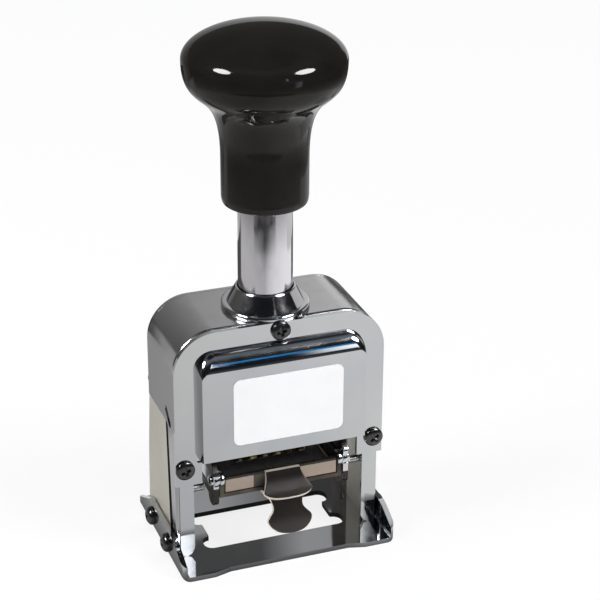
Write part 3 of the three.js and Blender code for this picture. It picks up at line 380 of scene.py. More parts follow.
NICKEL = metal(
    "nickel_matte", (0.47, 0.45, 0.39), (0.53, 0.51, 0.45), (0.42, 0.55), 35, ripple=120, metallic=0.45, grain=0.05)
# painted shade: a darkened copy of the nickel for the side plates' inner faces at the back
NICKEL_SHADED = metal(
    "nickel_painted_shade", (0.050, 0.044, 0.036), (0.10, 0.092, 0.076), (0.40, 0.55), 80, ripple=120, metallic=0.3)
TRAY_METAL = metal(
    "tray_metal", (0.36, 0.29, 0.24), (0.48, 0.39, 0.32), (0.32, 0.46), 60, (0.3, 1, 1), ripple=120, metallic=0.6)
# painted shade: a near-black metal for the cradle, which lies in shade under the raised panel, and for the tray's
# band in the finger tab's shadow
CRADLE_SHADED = metal(
    "cradle_painted_shade", (0.012, 0.011, 0.009), (0.085, 0.078, 0.058), (0.30, 0.50), 150, ripple=200, metallic=0.4)
STEEL = metal(
    "steel", (0.42, 0.42, 0.43), (0.54, 0.54, 0.55), (0.22, 0.36), 60, (1, 0.3, 1), ripple=150)
SPRING_STEEL = metal(
    "spring_steel", (0.32, 0.32, 0.34), (0.42, 0.42, 0.44), (0.20, 0.32), 80)
EDGE_METAL = metal(
    "bare_edge", (0.74, 0.64, 0.53), (0.92, 0.82, 0.72), (0.34, 0.46), 90, metallic=0.1)
BLACK_OXIDE = metal(
    "black_oxide", (0.007, 0.0054, 0.0044), (0.015, 0.011, 0.0085), (0.38, 0.54), 60, ripple=140, metallic=0.2)
BLACK_OXIDE.node_tree.nodes["Principled BSDF"].inputs["Specular IOR Level"].default_value = 0.2
# painted glints: bright brass spots in a noise on the figures, standing in for the wheels' glints
TYPE_GLINTS = metal(
    "type_painted_glints", (0.014, 0.011, 0.009), (1.0, 0.74, 0.42), (0.25, 0.40), 420, ripple=300, metallic=0.25)
# inked brass for the wheels and the tray's top; on the arms it is painted shade
INK_AND_SHADE = metal(
    "inked_brass", (0.010, 0.009, 0.008), (0.030, 0.025, 0.020), (0.22, 0.42), 120, ripple=300, metallic=0.3)
BRASS_EDGE = metal(
    "brass_edge", (0.20, 0.13, 0.06), (0.60, 0.44, 0.22), (0.22, 0.35), 160, metallic=0.9)
KNOB_BLACK = glossy_black("knob_black", 0.05, 0.24, (0.0075, 0.0066, 0.0054))
SCREW_BLACK = glossy_black("screw_black", 0.12, 0.9, (0.006, 0.006, 0.006))
LABEL = label_material()
FELT = felt_material()
SLOT_MATERIAL = {
    "chrome": CHROME_BRIGHT, "nickel": NICKEL, "steel": STEEL, "spring_steel": SPRING_STEEL,
    "black_plastic": KNOB_BLACK, "black_screw": SCREW_BLACK, "black_oxide": BLACK_OXIDE,
    "inked_brass": INK_AND_SHADE, "white_label": LABEL, "inked_felt": FELT,
}


def dress(obj, *materials):
    """Fills the material slots, and keeps which face has which slot."""
    slots = obj.data.materials
    while len(slots) > len(materials):
        slots.pop()
    for i, material in enumerate(materials):
        if i < len(slots):
            slots[i] = material
        else:
            slots.append(material)


def finish_beyond(obj, axis, limit, sign, index):
    """Splits a piece at a plane and gives the part beyond it another material."""
    normal = Vector([sign if name == axis else 0 for name in "XYZ"])
    at = normal * limit * sign * MM
    bm = bmesh.new()
    bm.from_mesh(obj.data)
    bmesh.ops.bisect_plane(bm, geom=bm.verts[:] + bm.edges[:] + bm.faces[:], plane_co=at, plane_no=normal, dist=1e-7)
    for face in bm.faces:
        if (face.calc_center_median() - at).dot(normal) > 0:
            face.material_index = index
    bm.to_mesh(obj.data)
    bm.free()


def stand_for(obj, node_name, *materials):
    """The piece takes a CAD node's place, body and finish."""
    if materials:
        dress(obj, *materials)
    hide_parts(node_name)
    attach(obj, BODY_OF[node_name])
    return obj


def copied(node_name):
    """A free copy of a CAD node, with its split corners merged."""
    source = NODES[node_name]
    mesh = source.data.copy()
    mesh.transform(source.matrix_world)
    mesh.materials.clear()
    obj = bpy.data.objects.new(node_name + "_fine", mesh)
    bpy.context.scene.collection.objects.link(obj)
    bm = bmesh.new()
    bm.from_mesh(mesh)
    bmesh.ops.remove_doubles(bm, verts=bm.verts, dist=1e-6)
    bm.to_mesh(mesh)
    bm.free()
    return obj


def refined(node_name, *materials, width=0.15, segments=2):
    """A copy of a CAD node with its small edges rounded."""
    obj = copied(node_name)
    dress(obj, *(materials or (SLOT_MATERIAL[SLOT_OF[node_name]],)))
    soften(obj, width, segments)
    return stand_for(obj, node_name)


# Knob, plunger tube and collar


def bezier(points, steps):
    """Points on the Bezier curve of these control points."""
    made = []
    for i in range(steps + 1):
        t = i / steps
        row = [Vector(p) for p in points]
        while len(row) > 1:
            row = [a.lerp(b, t) for a, b in zip(row, row[1:])]
        made.append(tuple(row[0]))
    return made


def make_knob():
    bottom, lip, neck, cap, widest, top = 103.6, 11.4, 12.1, 22.3, 144.0, 153.2
    bore, bore_top = 8.0, bottom + 15.3
    profile = [(0, bore_top), (bore, bore_top), (bore, bottom)]
    profile += bezier([(lip, bottom), (neck, bottom), (neck, bottom + 2.4)], 12)
    profile += bezier([(neck, bottom + 13), (neck, bottom + 35.6), (cap, widest - 14.6), (cap, widest)], 48)
    angles = [math.pi / 2 * i / 32 for i in range(1, 33)]
    dome = [(cap * math.cos(a), widest + (top - widest) * math.sin(a)) for a in angles]
    dome[-1] = (0, top)
    knob = turned("knob_gloss", profile + dome, 128)
    moved(knob, y=AXIS_Y)
    soften(knob, 0)
    stand_for(knob, "knob", KNOB_BLACK)


def make_stem():
    low, high, inside, outside, rim = 46.4, 118.6, 6.4, 7.7, 0.2
    profile = [
        (inside, low + rim), (6.6, low), (7.5, low), (outside, low + rim), (outside, high), (inside, high),
    ]
    tube = turned("stem_chrome", profile, 128, closed=True)
    moved(tube, y=AXIS_Y)
    # the slot that the cross pin stands in while the tube slides past it
    pin_z, half_slot, slot_top, corner = 49.3, 1.8, 25.8, 1.7
    slot = outline([
        (AXIS_Y - half_slot, pin_z - half_slot, corner), (AXIS_Y + half_slot, pin_z - half_slot, corner),
        (AXIS_Y + half_slot, pin_z + slot_top, corner), (AXIS_Y - half_slot, pin_z + slot_top, corner),
    ])
    cut(tube, prism("slot", "X", slot, -9, 9))
    soften(tube, 0)
    stand_for(tube, "stem_tube", CHROME_TUBE)


def make_collar():
    base, bore, foot, ring = 72.2, 8.0, 12.55, 1.5
    profile = [(bore, base), (foot - 0.25, base)]
    profile += bezier([(foot - 0.25, base), (foot, base), (foot, base + 0.25)], 4)[1:]
    profile += bezier([(foot, base + ring - 0.75), (foot, base + ring), (foot - 0.75, base + ring)], 8)
    profile += [(foot - 1.6, base + ring)]
    profile += bezier([(8.6, base + 5.8), (8.5, base + 6.05), (8.35, base + 6.1), (bore + 0.04, base + 6.1)], 8)
    collar = turned("collar_chrome", profile, 128, closed=True)
    moved(collar, y=AXIS_Y)
    soften(collar, 0, angle=50)
    stand_for(collar, "stem_collar", CHROME_COLLAR)


# Housing and plates

HALF, TOP, WALL, RADIUS = 30.7, 72.2, 1.2, 12.0
FRONT, REAR, SIDE_LOW = -12.6, 12.0, 42.1
PLATE_HALF, PANEL_FACE = 31.1, -17.9
# x and z of the screws of the front plate and of the rear plate, y and z of those in each side of the base
FRONT_SCREWS = {"top": (0, 69.7), "left": (-28.405, 30.8), "right": (28.405, 30.8)}
REAR_SCREWS = {"top": (0, 69.7), "left": (-28.2, 46.6), "right": (28.2, 46.6)}
BASE_SCREWS = {"front": (-8.0, 4.5), "rear": (7.5, 4.5)}


def arch(half, top, radius, bottom):
    left = arc(-half + radius, top - radius, radius, math.pi, math.pi / 2, 14)
    right = arc(half - radius, top - radius, radius, math.pi / 2, 0, 14)
    return [(-half, bottom)] + left + right + [(half, bottom)]


def inner_arch(inset, bottom):
    """The housing's arch, set in on all sides."""
    return arch(HALF - inset, TOP - inset, RADIUS - inset, bottom)


def screw_hole(axis, u, v, low, high, radius=1.55):
    return prism("hole", axis, circle(u, v, radius, 24), low, high)


def make_housing():
    joint, foot_z, column = 0.5, 1.5, 5.1
    sections = [(FRONT, inner_arch(0.9, foot_z)), (FRONT + joint, inner_arch(0.9, foot_z))]
    for edge, rim, sign in ((FRONT + joint, 1.1, 1), (REAR, 0.12, -1)):
        rows = []
        for i in range(7):
            a = math.pi / 2 * i / 6
            rows.append((edge + sign * rim * (1 - math.cos(a)), inner_arch(rim * (1 - math.sin(a)), foot_z)))
        sections += rows if sign > 0 else rows[::-1]
    shell = two_slots(loft("housing_satin", "Y", sections), 0)
    # painted shade: the shell's edge strip next to the front plate takes the near-black slot, for the shade in the
    # joint
    for face in shell.data.polygons:
        if face.center.y / MM < FRONT + joint + 0.02 and abs(face.normal.y) < 0.5:
            face.material_index = 1
    cut(
        shell,
        prism("hollow", "Y", inner_arch(WALL, 0.5), FRONT + WALL, REAR - WALL),
        prism("through", "Y", inner_arch(column, 0.5), FRONT - 1, REAR + 1),
    )
    profile = outline([
        (FRONT - 1, foot_z), (-8.8, foot_z, 0.8), (-5.6, SIDE_LOW, 1.5),
        (REAR + 1, SIDE_LOW), (REAR + 1, TOP + 1), (FRONT - 1, TOP + 1),
    ])
    common(shell, prism("side", "X", profile, -HALF - 1, HALF + 1))
    slot = arc(-4.6, 45.8, 1.2, -math.pi / 4, 3 * math.pi / 4, 12)
    slot += arc(-7.6, 42.8, 1.2, 3 * math.pi / 4, 7 * math.pi / 4, 12)
    # what is cut away under a column, which leaves its foot narrower
    foot = [
        (-HALF - 1, 0), (-HALF - 1, 3.9), (-HALF, 3.9), (-HALF + 1.2, 2.1), (-HALF + 2.2, foot_z),
        (-25.6 - 2.2, foot_z), (-25.6 - 1.0, 2.1), (-25.6, 3.9), (-24, 3.9), (-24, 0),
    ]
    tools = [prism("stem_hole", "Z", circle(0, AXIS_Y, 8.3, 64), TOP - 3, TOP + 1)]
    tools += [prism("slot", "X", slot, -HALF - 1, HALF + 1)]
    tools += [prism("foot", "Y", [(side * x, z) for x, z in foot], FRONT - 1, FRONT + 2) for side in (-1, 1)]
    tools += [screw_hole("Y", x, z, FRONT - 1, FRONT + 2) for x, z in FRONT_SCREWS.values()]
    tools += [screw_hole("Y", x, z, REAR - 2, REAR + 1) for x, z in REAR_SCREWS.values()]
    tools += [screw_hole("X", *BASE_SCREWS["front"], -HALF - 1, HALF + 1)]
    cut(shell, *tools)
    for face in shell.data.polygons:
        if face.normal.y < -0.99 and face.center.y / MM < FRONT + 0.01:
            face.material_index = 2
    soften(shell, 0.12, 2, 40)
    stand_for(shell, "housing_shell", CHROME_HOUSING, PAINTED_SHADE, CHROME_PLATE)


def bulge_loop(half, bottom, top, corner):
    points = [(-half, bottom), (half, bottom)]
    points += arc(half - corner, top - corner, corner, 0, math.pi / 2, 10)
    points += arc(-half + corner, top - corner, corner, math.pi / 2, math.pi, 10)
    return points


def bulge_sections(level, face, inset, bottom):
    """The raised panel's body: its top edge rolls over and meets the face at a shallow crease."""
    half, top, corner, steps, last = 24.6, 66.5, 5.2, 14, math.radians(70)
    sections = []
    for i in range(steps + 1):
        a = last * i / steps
        reach, drop = math.sin(a) / math.sin(last), (1 - math.cos(a)) / (1 - math.cos(last))
        loop = bulge_loop(
            half - inset - 0.5 * drop, bottom, top - inset - 5.0 * drop, corner - inset * 0.5 - 3.4 * drop)
        sections.append((level + (face - level) * reach, loop))
    return sections


def make_front_plate():
    level, mouth_half, mouth_top = FRONT - WALL, 23.4, 34.1
    plate = prism("front_chrome", "Y", arch(PLATE_HALF, TOP, RADIUS + 0.4, 25.6), level, FRONT)
    mouth = [(-mouth_half, 24), (mouth_half, 24), (mouth_half, mouth_top), (-mouth_half, mouth_top)]
    tools = [prism("mouth", "Y", mouth, level - 1, FRONT + 1)]
    tools += [prism("notch", "Y", circle(side * 24.0, 33.2, 0.9, 32), level - 1, FRONT + 1) for side in (-1, 1)]
    cut(plate, *tools)
    outer = bulge_sections(level, PANEL_FACE, 0, mouth_top)
    join(plate, loft("outer", "Y", [(level + 0.6, outer[0][1])] + outer))
    inner = bulge_sections(level, PANEL_FACE + WALL, WALL, mouth_top - 1)
    cut(plate, loft("inner", "Y", [(FRONT + 1, inner[0][1])] + inner))
    cut(plate, *[screw_hole("Y", x, z, level - 1, FRONT + 1) for x, z in FRONT_SCREWS.values()])
    soften(plate, 0.2, 3, 20)
    stand_for(plate, "front_plate", CHROME_PLATE)


def make_label():
    left, right, low, high, corner = 1 - 16.2, 1 + 16.2, 38.2, 58.5, 2
    corners = [(left, low, corner), (right, low, corner), (right, high, corner), (left, high, corner)]
    label = prism("label_white", "Y", outline(corners, math.radians(4)), -18.15, PANEL_FACE)
    soften(label, 0.06)
    stand_for(label, "front_label", LABEL)


def make_rear_plate():
    pivot_z, pivot_radius = 54.74, 1.65
    plate = prism("rear_chrome", "Y", arch(HALF, TOP, RADIUS, SIDE_LOW), REAR, REAR + WALL)
    holes = [screw_hole("Y", x, z, REAR - 1, REAR + 2) for x, z in REAR_SCREWS.values()]
    cut(plate, *holes, screw_hole("Y", 0, pivot_z, REAR - 1, REAR + 2, pivot_radius))
    soften(plate, 0.06)
    stand_for(plate, "rear_plate", CHROME_PLATE)


# Base


def make_base():
    half, sheet, flange, front, rear = 32.5, 1.5, 8.5, -23.4, 23.4
    inner, recess = half - sheet, front + 1.3
    channel = prism("base_chrome", "Y", outline([
        (-half, 0, 1.8), (half, 0, 1.8), (half, flange), (inner, flange),
        (inner, sheet, 0.5), (-inner, sheet, 0.5), (-inner, flange), (-half, flange),
    ]), front - 1, rear + 1)
    plan = outline([
        (-half, rear, 3), (-half, front, 3), (-22.8, front, 2), (-18, recess, 2),
        (18, recess, 2), (22.8, front, 2), (half, front, 3), (half, rear, 3),
    ])
    profile = outline([
        (front - 1, -1), (rear + 1, -1), (rear + 1, 2.2), (rear, 2.2),
        (rear - 13, flange, 8), (front + 9, flange, 8), (front, 4.2), (front - 1, 4.2),
    ])
    common(channel, prism("plan", "Z", plan, -1, 10), prism("profile", "X", profile, -half - 1, half + 1))
    window_half, tab_x, tab_half, round_corner, tab_corner = 21.6, 18.9, 3.4, 2.6, 0.7
    window = outline(mirrored([
        (-window_half, AXIS_Y - 9.8, round_corner), (-window_half, AXIS_Y - tab_half, round_corner),
        (-tab_x, AXIS_Y - tab_half, tab_corner), (-tab_x, AXIS_Y + tab_half, tab_corner),
        (-window_half, AXIS_Y + tab_half, round_corner), (-window_half, AXIS_Y + 9.9, round_corner),
    ]))
    two_slots(channel, 0)
    # painted shade: the window's cut walls take the near-black slot
    dark_cut(channel, prism("window", "Z", window, -1, 10))
    cut(channel, *[
        screw_hole("X", y, z, side * half - 3, side * half + 3) for y, z in BASE_SCREWS.values() for side in (-1, 1)
    ])
    soften(channel, 0.6, 4, 36)
    stand_for(channel, "base_plate", CHROME_BRIGHT, PAINTED_SHADE)


# Side plates


def make_side_plates():
    gap_front, gap_top, inside_x, behind_y = -10.5, SIDE_LOW + 1, 28.2, 4.0
    gap = [(gap_front, 1.0), (-5.2, 1.0), (-2.9, gap_top), (gap_front, gap_top)]
    for name, side in (("left", -1), ("right", 1)):
        plate = two_slots(copied("side_plate_" + name), 0)
        low, high = sorted((side * 29.25, side * 32))
        # painted shade: the gap behind the column, whose cut faces take the near-black slot
        dark_cut(plate, prism("gap", "X", gap, low, high))
        soften(plate, 0.2, 3)
        finish_beyond(plate, "Y", behind_y, 1, 0)
        # painted shade: the inner faces behind behind_y take the darkened nickel
        for face in plate.data.polygons:
            middle = face.center / MM
            if abs(middle.x) < inside_x and middle.y > behind_y:
                face.material_index = 2
        stand_for(plate, "side_plate_" + name, NICKEL, PAINTED_SHADE, NICKEL_SHADED)


# Screws


def make_screw(node_name, radius, height, shank, rise, turn, x, y, z):
    """A black screw with a cross slot. The rise is the share of the height that the head's rim has."""
    profile = [(0, -shank), (1.2, -shank), (1.4, -shank + 0.2), (1.4, 0), (radius - 0.12, 0), (radius, 0.12)]
    angles = [math.pi / 2 * i / 14 for i in range(15)]
    dome = [(radius * math.cos(a), height * (rise + (1 - rise) * math.sin(a))) for a in angles]
    dome[-1] = (0, height)
    head = turned(node_name + "_fine", profile + dome, 56)
    # the slot tapers: height, half width and half length at its floor and at its mouth
    floor, mouth = (height - 1.05, 0.34, 0.9), (height + 0.3, 0.52, 1.75)
    faces = [(0, 1, 2, 3), (4, 5, 6, 7), (0, 1, 5, 4), (1, 2, 6, 5), (2, 3, 7, 6), (3, 0, 4, 7)]
    for flip in (0, 1):
        verts = []
        for depth, narrow, reach in (floor, mouth):
            for su, sv in ((-1, -1), (1, -1), (1, 1), (-1, 1)):
                u, v = su * reach, sv * narrow
                verts.append((v, u, depth) if flip else (u, v, depth))
        cut(head, make_object("cross", verts, faces))
    moved(head, x, y, z, turn)
    soften(head, 0.14, 3, 40)
    stand_for(head, node_name, SCREW_BLACK)


def make_screws():
    pan_rise, domed_rise = 0.45, 0.18
    spins = {"top": 12, "left": 20, "right": 35}
    for name, (x, z) in FRONT_SCREWS.items():
        turn = Matrix.Rotation(math.pi / 2, 3, "X") @ Matrix.Rotation(math.radians(spins[name]), 3, "Z")
        make_screw("front_screw_" + name, 2.8, 1.45, 3.4, pan_rise, turn, x, FRONT - WALL, z)
    for name, (x, z) in REAR_SCREWS.items():
        turn = Matrix.Rotation(-math.pi / 2, 3, "X")
        make_screw("rear_screw_" + name, 2.4, 1.9, 3.4, pan_rise, turn, x, REAR + WALL, z)
    for name, side in (("left", -1), ("right", 1)):
        for end, (y, z) in BASE_SCREWS.items():
            turn = Matrix.Rotation(side * math.pi / 2, 3, "Y") @ Matrix.Rotation(math.radians(20 + 25 * y), 3, "Z")
            make_screw(f"base_screw_{name}_{end}", 2.8, 2.0, 4.5, domed_rise, turn, side * 32.5, y, z)


# Number wheels with raised figures

TENTH = 2 * math.pi / 10


def figure_mesh(digit):
    """A figure that is centred and about one unit wide, high and deep."""
    curve = bpy.data.curves.new("figure", "FONT")
    curve.body = str(digit)
    curve.size = 1
    curve.extrude = 0.5
    curve.resolution_u = 3
    curve.align_x = "CENTER"
    obj = bpy.data.objects.new("figure", curve)
    bpy.context.scene.collection.objects.link(obj)
    bpy.context.view_layer.update()
    mesh = bpy.data.meshes.new_from_object(obj.evaluated_get(bpy.context.evaluated_depsgraph_get()))
    bpy.data.objects.remove(obj)
    xs = [v.co.x for v in mesh.vertices]
    ys = [v.co.y for v in mesh.vertices]
    centre = Vector(((min(xs) + max(xs)) / 2, (min(ys) + max(ys)) / 2, 0))
    size = Vector((max(xs) - min(xs), max(ys) - min(ys), 1))
    # the 1 stays narrow
    narrowest = 0.45
    for vertex in mesh.vertices:
        vertex.co -= centre
        vertex.co.x /= max(size.x, narrowest)
        vertex.co.y /= size.y
    return mesh


def wheel_body(name, x, width, type_width):
    """A rim with ten flats for the figures, a ratchet beside it, and the axle's bore."""
    root, tip, bore = 6.2, 7.6, 2.3
    # the rim at one figure: share of its tenth of a turn, and radius
    flat = ((-0.44, 8.1), (-0.37, 8.95), (-0.12, 9.05), (0.12, 9.05), (0.37, 8.95), (0.44, 8.1))
    loop, teeth = [], []
    for i in range(10):
        corners = [(TENTH * i - math.pi / 2 + TENTH * share, r) for share, r in flat]
        loop += [(r * math.cos(a), r * math.sin(a)) for a, r in corners]
        teeth += [(r * math.cos(a), r * math.sin(a)) for a, r in ((TENTH * i, tip), (TENTH * (i + 0.8), root))]
    rim = prism(name, "X", loop, x - width / 2, x - width / 2 + type_width)
    join(rim, prism("ratchet", "X", teeth, x - width / 2 + type_width / 2, x + width / 2))
    cut(rim, prism("bore", "X", circle(0, 0, bore, 32), x - 3, x + 3))
    dress(rim, INK_AND_SHADE, BRASS_EDGE, TYPE_GLINTS)
    soften(rim, 0.14, 2, 30, 1)
    return rim


def make_wheels():
    axle_z, pitch, width, type_width, face_radius = 33.6, 3.8, 3.5, 2.6, 9.0
    figure_width, figure_height, figure_rise = 1.9, 3.9, 0.75
    figures = [figure_mesh(digit) for digit in range(10)]
    for wheel in range(6):
        x = (wheel - 2.5) * pitch
        rim = wheel_body(f"wheel_{wheel + 1}", x, width, type_width)
        bm = bmesh.new()
        bm.from_mesh(rim.data)
        for i in range(10):
            middle = TENTH * i - math.pi / 2
            copy = figures[(i + wheel * 3) % 10].copy()
            # across the wheel, round the wheel, and out from it
            across, out = Vector((1, 0, 0)), Vector((0, math.cos(middle), math.sin(middle)))
            along = across.cross(out)
            turn = Matrix((across * figure_width * MM, along * figure_height * MM, out * figure_rise * MM))
            spot = Vector((x - width / 2 + type_width / 2, 0, 0)) * MM + out * face_radius * MM
            copy.transform(Matrix.Translation(spot) @ turn.transposed().to_4x4())
            first = len(bm.faces)
            bm.from_mesh(copy)
            bm.faces.ensure_lookup_table()
            # the figures take the third slot, the painted glints
            for face in bm.faces[first:]:
                face.material_index = 2
            bpy.data.meshes.remove(copy)
        bm.to_mesh(rim.data)
        bm.free()
        moved(rim, 0, AXIS_Y, axle_z)
        stand_for(rim, f"number_wheel_{wheel + 1}")
    for mesh in figures:
        bpy.data.meshes.remove(mesh)


# Finger tabs: sheets of one thickness with bare metal at their cut edges


def sheet_tab(node_name, points, bow, lean, rounding):
    """The points give y, z and half width down the sheet's middle. The bow pulls its edges back up."""
    sheet, rows, columns = 1.2, 40, 28
    path = spline(points)
    verts, faces = [], []
    for i in range(rows + 1):
        for j in range(columns + 1):
            across = 2 * j / columns - 1
            t = i / rows * (1 - bow * across * across)
            y, z, half_width = path(t)
            # the last fifth narrows to round its corners
            narrowed = 1 - rounding * max(0, (i / rows - 0.8) / 0.2) ** 2.5
            verts.append((half_width * narrowed * across + lean * t, y, z))
    for i in range(rows):
        for j in range(columns):
            a = i * (columns + 1) + j
            faces.append((a, a + 1, a + columns + 2, a + columns + 1))
    obj = make_object(node_name + "_fine", verts, faces)
    dress(obj, BLACK_OXIDE, EDGE_METAL)
    solidify = obj.modifiers.new("sheet", "SOLIDIFY")
    solidify.thickness = sheet * MM
    solidify.offset = 0
    solidify.material_offset_rim = 1
    bake(obj)
    soften(obj, 0.16, 2, 50)
    stand_for(obj, node_name)


def spline(points):
    """A smooth curve through points that are evenly spread over 0 to 1."""
    def value(t):
        spot = min(max(t, 0), 1) * (len(points) - 1)
        i = min(int(spot), len(points) - 2)
        f = spot - i
        p0, p1, p2, p3 = (Vector(points[k]) for k in (max(i - 1, 0), i, i + 1, min(i + 2, len(points) - 1)))
        made = p1 * (2 * f ** 3 - 3 * f ** 2 + 1) + p2 * (3 * f ** 2 - 2 * f ** 3)
        made += (p2 - p0) * 0.5 * (f ** 3 - 2 * f ** 2 + f) + (p3 - p1) * 0.5 * (f ** 3 - f ** 2)
        return made
    return value


def make_tabs():
    sheet_tab("finger_tab", [
        (-15.1, 26.5, 5.2), (-15.2, 25.0, 5.3), (-16.0, 22.9, 5.9), (-17.7, 20.7, 7.4), (-19.7, 19.2, 9.8),
    ], bow=0.22, lean=1.1, rounding=0.05)
    sheet_tab("thumb_tab", [
        (-9.4, 19.4, 6.2), (-14.6, 19.4, 5.8), (-17.4, 18.4, 4.9),
        (-18.6, 15.5, 4.5), (-19.8, 12.4, 6.9), (-21.9, 8.9, 7.9),
    ], bow=0.12, lean=0.8, rounding=0.22)


# Ink frame and pad


def make_ink_pad():
    """A thin felt pad with soft edges and a slightly crowned face."""
    low, high = (Vector(corner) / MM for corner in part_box("ink_pad"))
    # share of the thickness, and how far the pad is drawn in there
    rows = (
        (0.0, 0.4), (0.08, 0.15), (0.2, 0.03), (0.5, 0.0), (0.72, 0.03),
        (0.86, 0.2), (0.94, 0.6), (0.98, 1.6), (1.0, 3.2),
    )
    sections, corner = [], 1.2
    for share, inset in rows:
        x0, x1, y0, y1 = low.x + inset, high.x - inset, low.y + inset, high.y - inset
        loop = outline([(x0, y0, corner), (x1, y0, corner), (x1, y1, corner), (x0, y1, corner)])
        sections.append((low.z + (high.z - low.z) * share, loop))
    pad = loft("ink_pad_felt", "Z", sections)
    soften(pad, 0, angle=60)
    stand_for(pad, "ink_pad", FELT)


def make_cradle_pins():
    """Ringed bosses that the ink frame's cradle hangs on, each with a dimple in its end, whose faces are painted
    near-black as painted shade.
    """
    profile = [
        (0, 20.4), (0.75, 20.4), (0.85, 21.1), (1.5, 21.1), (1.7, 20.9), (1.7, 20.3), (2.15, 20.2), (2.3, 20.05),
        (2.3, 19.0), (2.15, 18.85), (1.9, 18.8), (1.9, 18.5), (2.15, 18.45), (2.3, 18.3), (2.3, 17.4),
        (2.15, 17.2), (0, 17.2),
    ]
    pin_y, pin_z, dimple, behind = -13.0, 25.4, 0.84, 20
    for name, side in (("left", -1), ("right", 1)):
        pin = turned("cradle_pin_ringed_" + name, profile, 48)
        # painted shade: the dimple's faces take the near-black slot
        for face in pin.data.polygons:
            middle = face.center / MM
            face.material_index = int(math.hypot(middle.x, middle.y) < dimple and middle.z > behind)
        moved(pin, 0, pin_y, pin_z, Matrix.Rotation(side * math.pi / 2, 3, "Y"))
        soften(pin, 0, angle=50)
        stand_for(pin, "cradle_pin_" + name, CHROME_BRIGHT, PAINTED_SHADE)


def make_ink_frame():
    # painted shade: the cradle is near-black
    refined("ink_cradle", CRADLE_SHADED, width=0.18)
    # the tray is inked on top and bare below; a band left of the finger tab is painted shade, for the tab's shadow
    shade_start_x, bare_x, top_z = -8.4, -5.0, 25.6
    tray = refined("pad_tray", TRAY_METAL, INK_AND_SHADE, CRADLE_SHADED, width=0.18)
    finish_beyond(tray, "X", shade_start_x, 1, 2)
    finish_beyond(tray, "X", bare_x, 1, 0)
    finish_beyond(tray, "Z", top_z, 1, 1)
    # the arms are chrome only where they show beside the cradle; above and below that band the inked finish is
    # painted shade
    for name, bright_low, bright_high in (("ink_arm_left", 23.4, 27.4), ("ink_arm_right", 21.6, 29.0)):
        arm = refined(name, CHROME_BRIGHT, INK_AND_SHADE, width=0.25, segments=3)
        finish_beyond(arm, "Z", bright_low, -1, 1)
        finish_beyond(arm, "Z", bright_high, 1, 1)
    make_cradle_pins()
    make_ink_pad()


# Parts that keep their solid's shape

PLAIN_PARTS = (
    "crosshead", "guide_shoe_left", "guide_shoe_right", "cheek_left", "cheek_right", "wheel_axle",
    "axle_nut_left", "axle_nut_right", "detent_comb", "feed_lever", "feed_pawl", "stop_pin_left", "stop_pin_right",
    "selector_dial", "selector_pivot", "selector_lever", "selector_grip", "cross_pin", "spring_seat", "stem_plug",
)


def make_plain_parts():
    for name in ("slot_stud_left", "slot_stud_right"):
        refined(name, BLACK_OXIDE)
    for name in NODES:
        if name in PLAIN_PARTS:
            refined(name, width=0.12)


def make_return_spring():
    """A copy of the return spring with a mesh of its own."""
    spring = refined("return_spring", width=0)
    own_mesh(spring)


# The room


def empty_tree(owner):
    owner.use_nodes = True
    owner.node_tree.nodes.clear()
    return owner.node_tree


def axes_of(tree, spot):
    """The X, Y and Z of a coordinate."""
    return node(tree, "ShaderNodeSeparateXYZ", {0: spot}).outputs


def mixed(tree, share, low, high):
    """A mix of two shaders, by a number or a socket."""
    return node(tree, "ShaderNodeMixShader", {0: share, 1: low.outputs[0], 2: high.outputs[0]})


def make_world():
    """White to the camera, even light for matt surfaces, and a dim room in the metal."""
    world = bpy.data.worlds.new("studio")
    bpy.context.scene.world = world
    tree = empty_tree(world)
    path = node(tree, "ShaderNodeLightPath")
    axes = axes_of(tree, coordinates(tree, "Generated"))
    dark, dusk, haze = (0.012, 0.013, 0.014), (0.08, 0.08, 0.075), (0.15, 0.17, 0.20)
    warm, plain = (0.10, 0.10, 0.095), (0.10, 0.10, 0.10)
    front = [(0.0, dusk), (0.10, dark), (0.62, dark), (0.82, haze), (0.90, haze), (0.95, dark), (1.0, dark)]
    back = [(0.0, dusk), (0.30, warm), (0.75, plain), (0.92, dark), (1.0, dark)]
    turn = node(tree, "ShaderNodeMapRange", {"Value": axes["Y"], "From Min": -0.15, "From Max": 0.25},
                interpolation_type="SMOOTHSTEP")
    room = node(tree, "ShaderNodeMix", {
        "Factor": turn.outputs["Result"], "A": ramp(tree, axes["Z"], front), "B": ramp(tree, axes["Z"], back),
    }, data_type="RGBA")
    reflected = node(tree, "ShaderNodeBackground", {"Color": room.outputs["Result"]})
    ambient = node(tree, "ShaderNodeBackground", {"Color": (0.575, 0.58, 0.595, 1)})
    backdrop = node(tree, "ShaderNodeBackground", {"Color": (1, 1, 1, 1)})
    unseen = mixed(tree, path.outputs["Is Diffuse Ray"], reflected, ambient)
    shown = mixed(tree, path.outputs["Is Camera Ray"], unseen, backdrop)
    node(tree, "ShaderNodeOutputWorld", {"Surface": shown.outputs[0]})


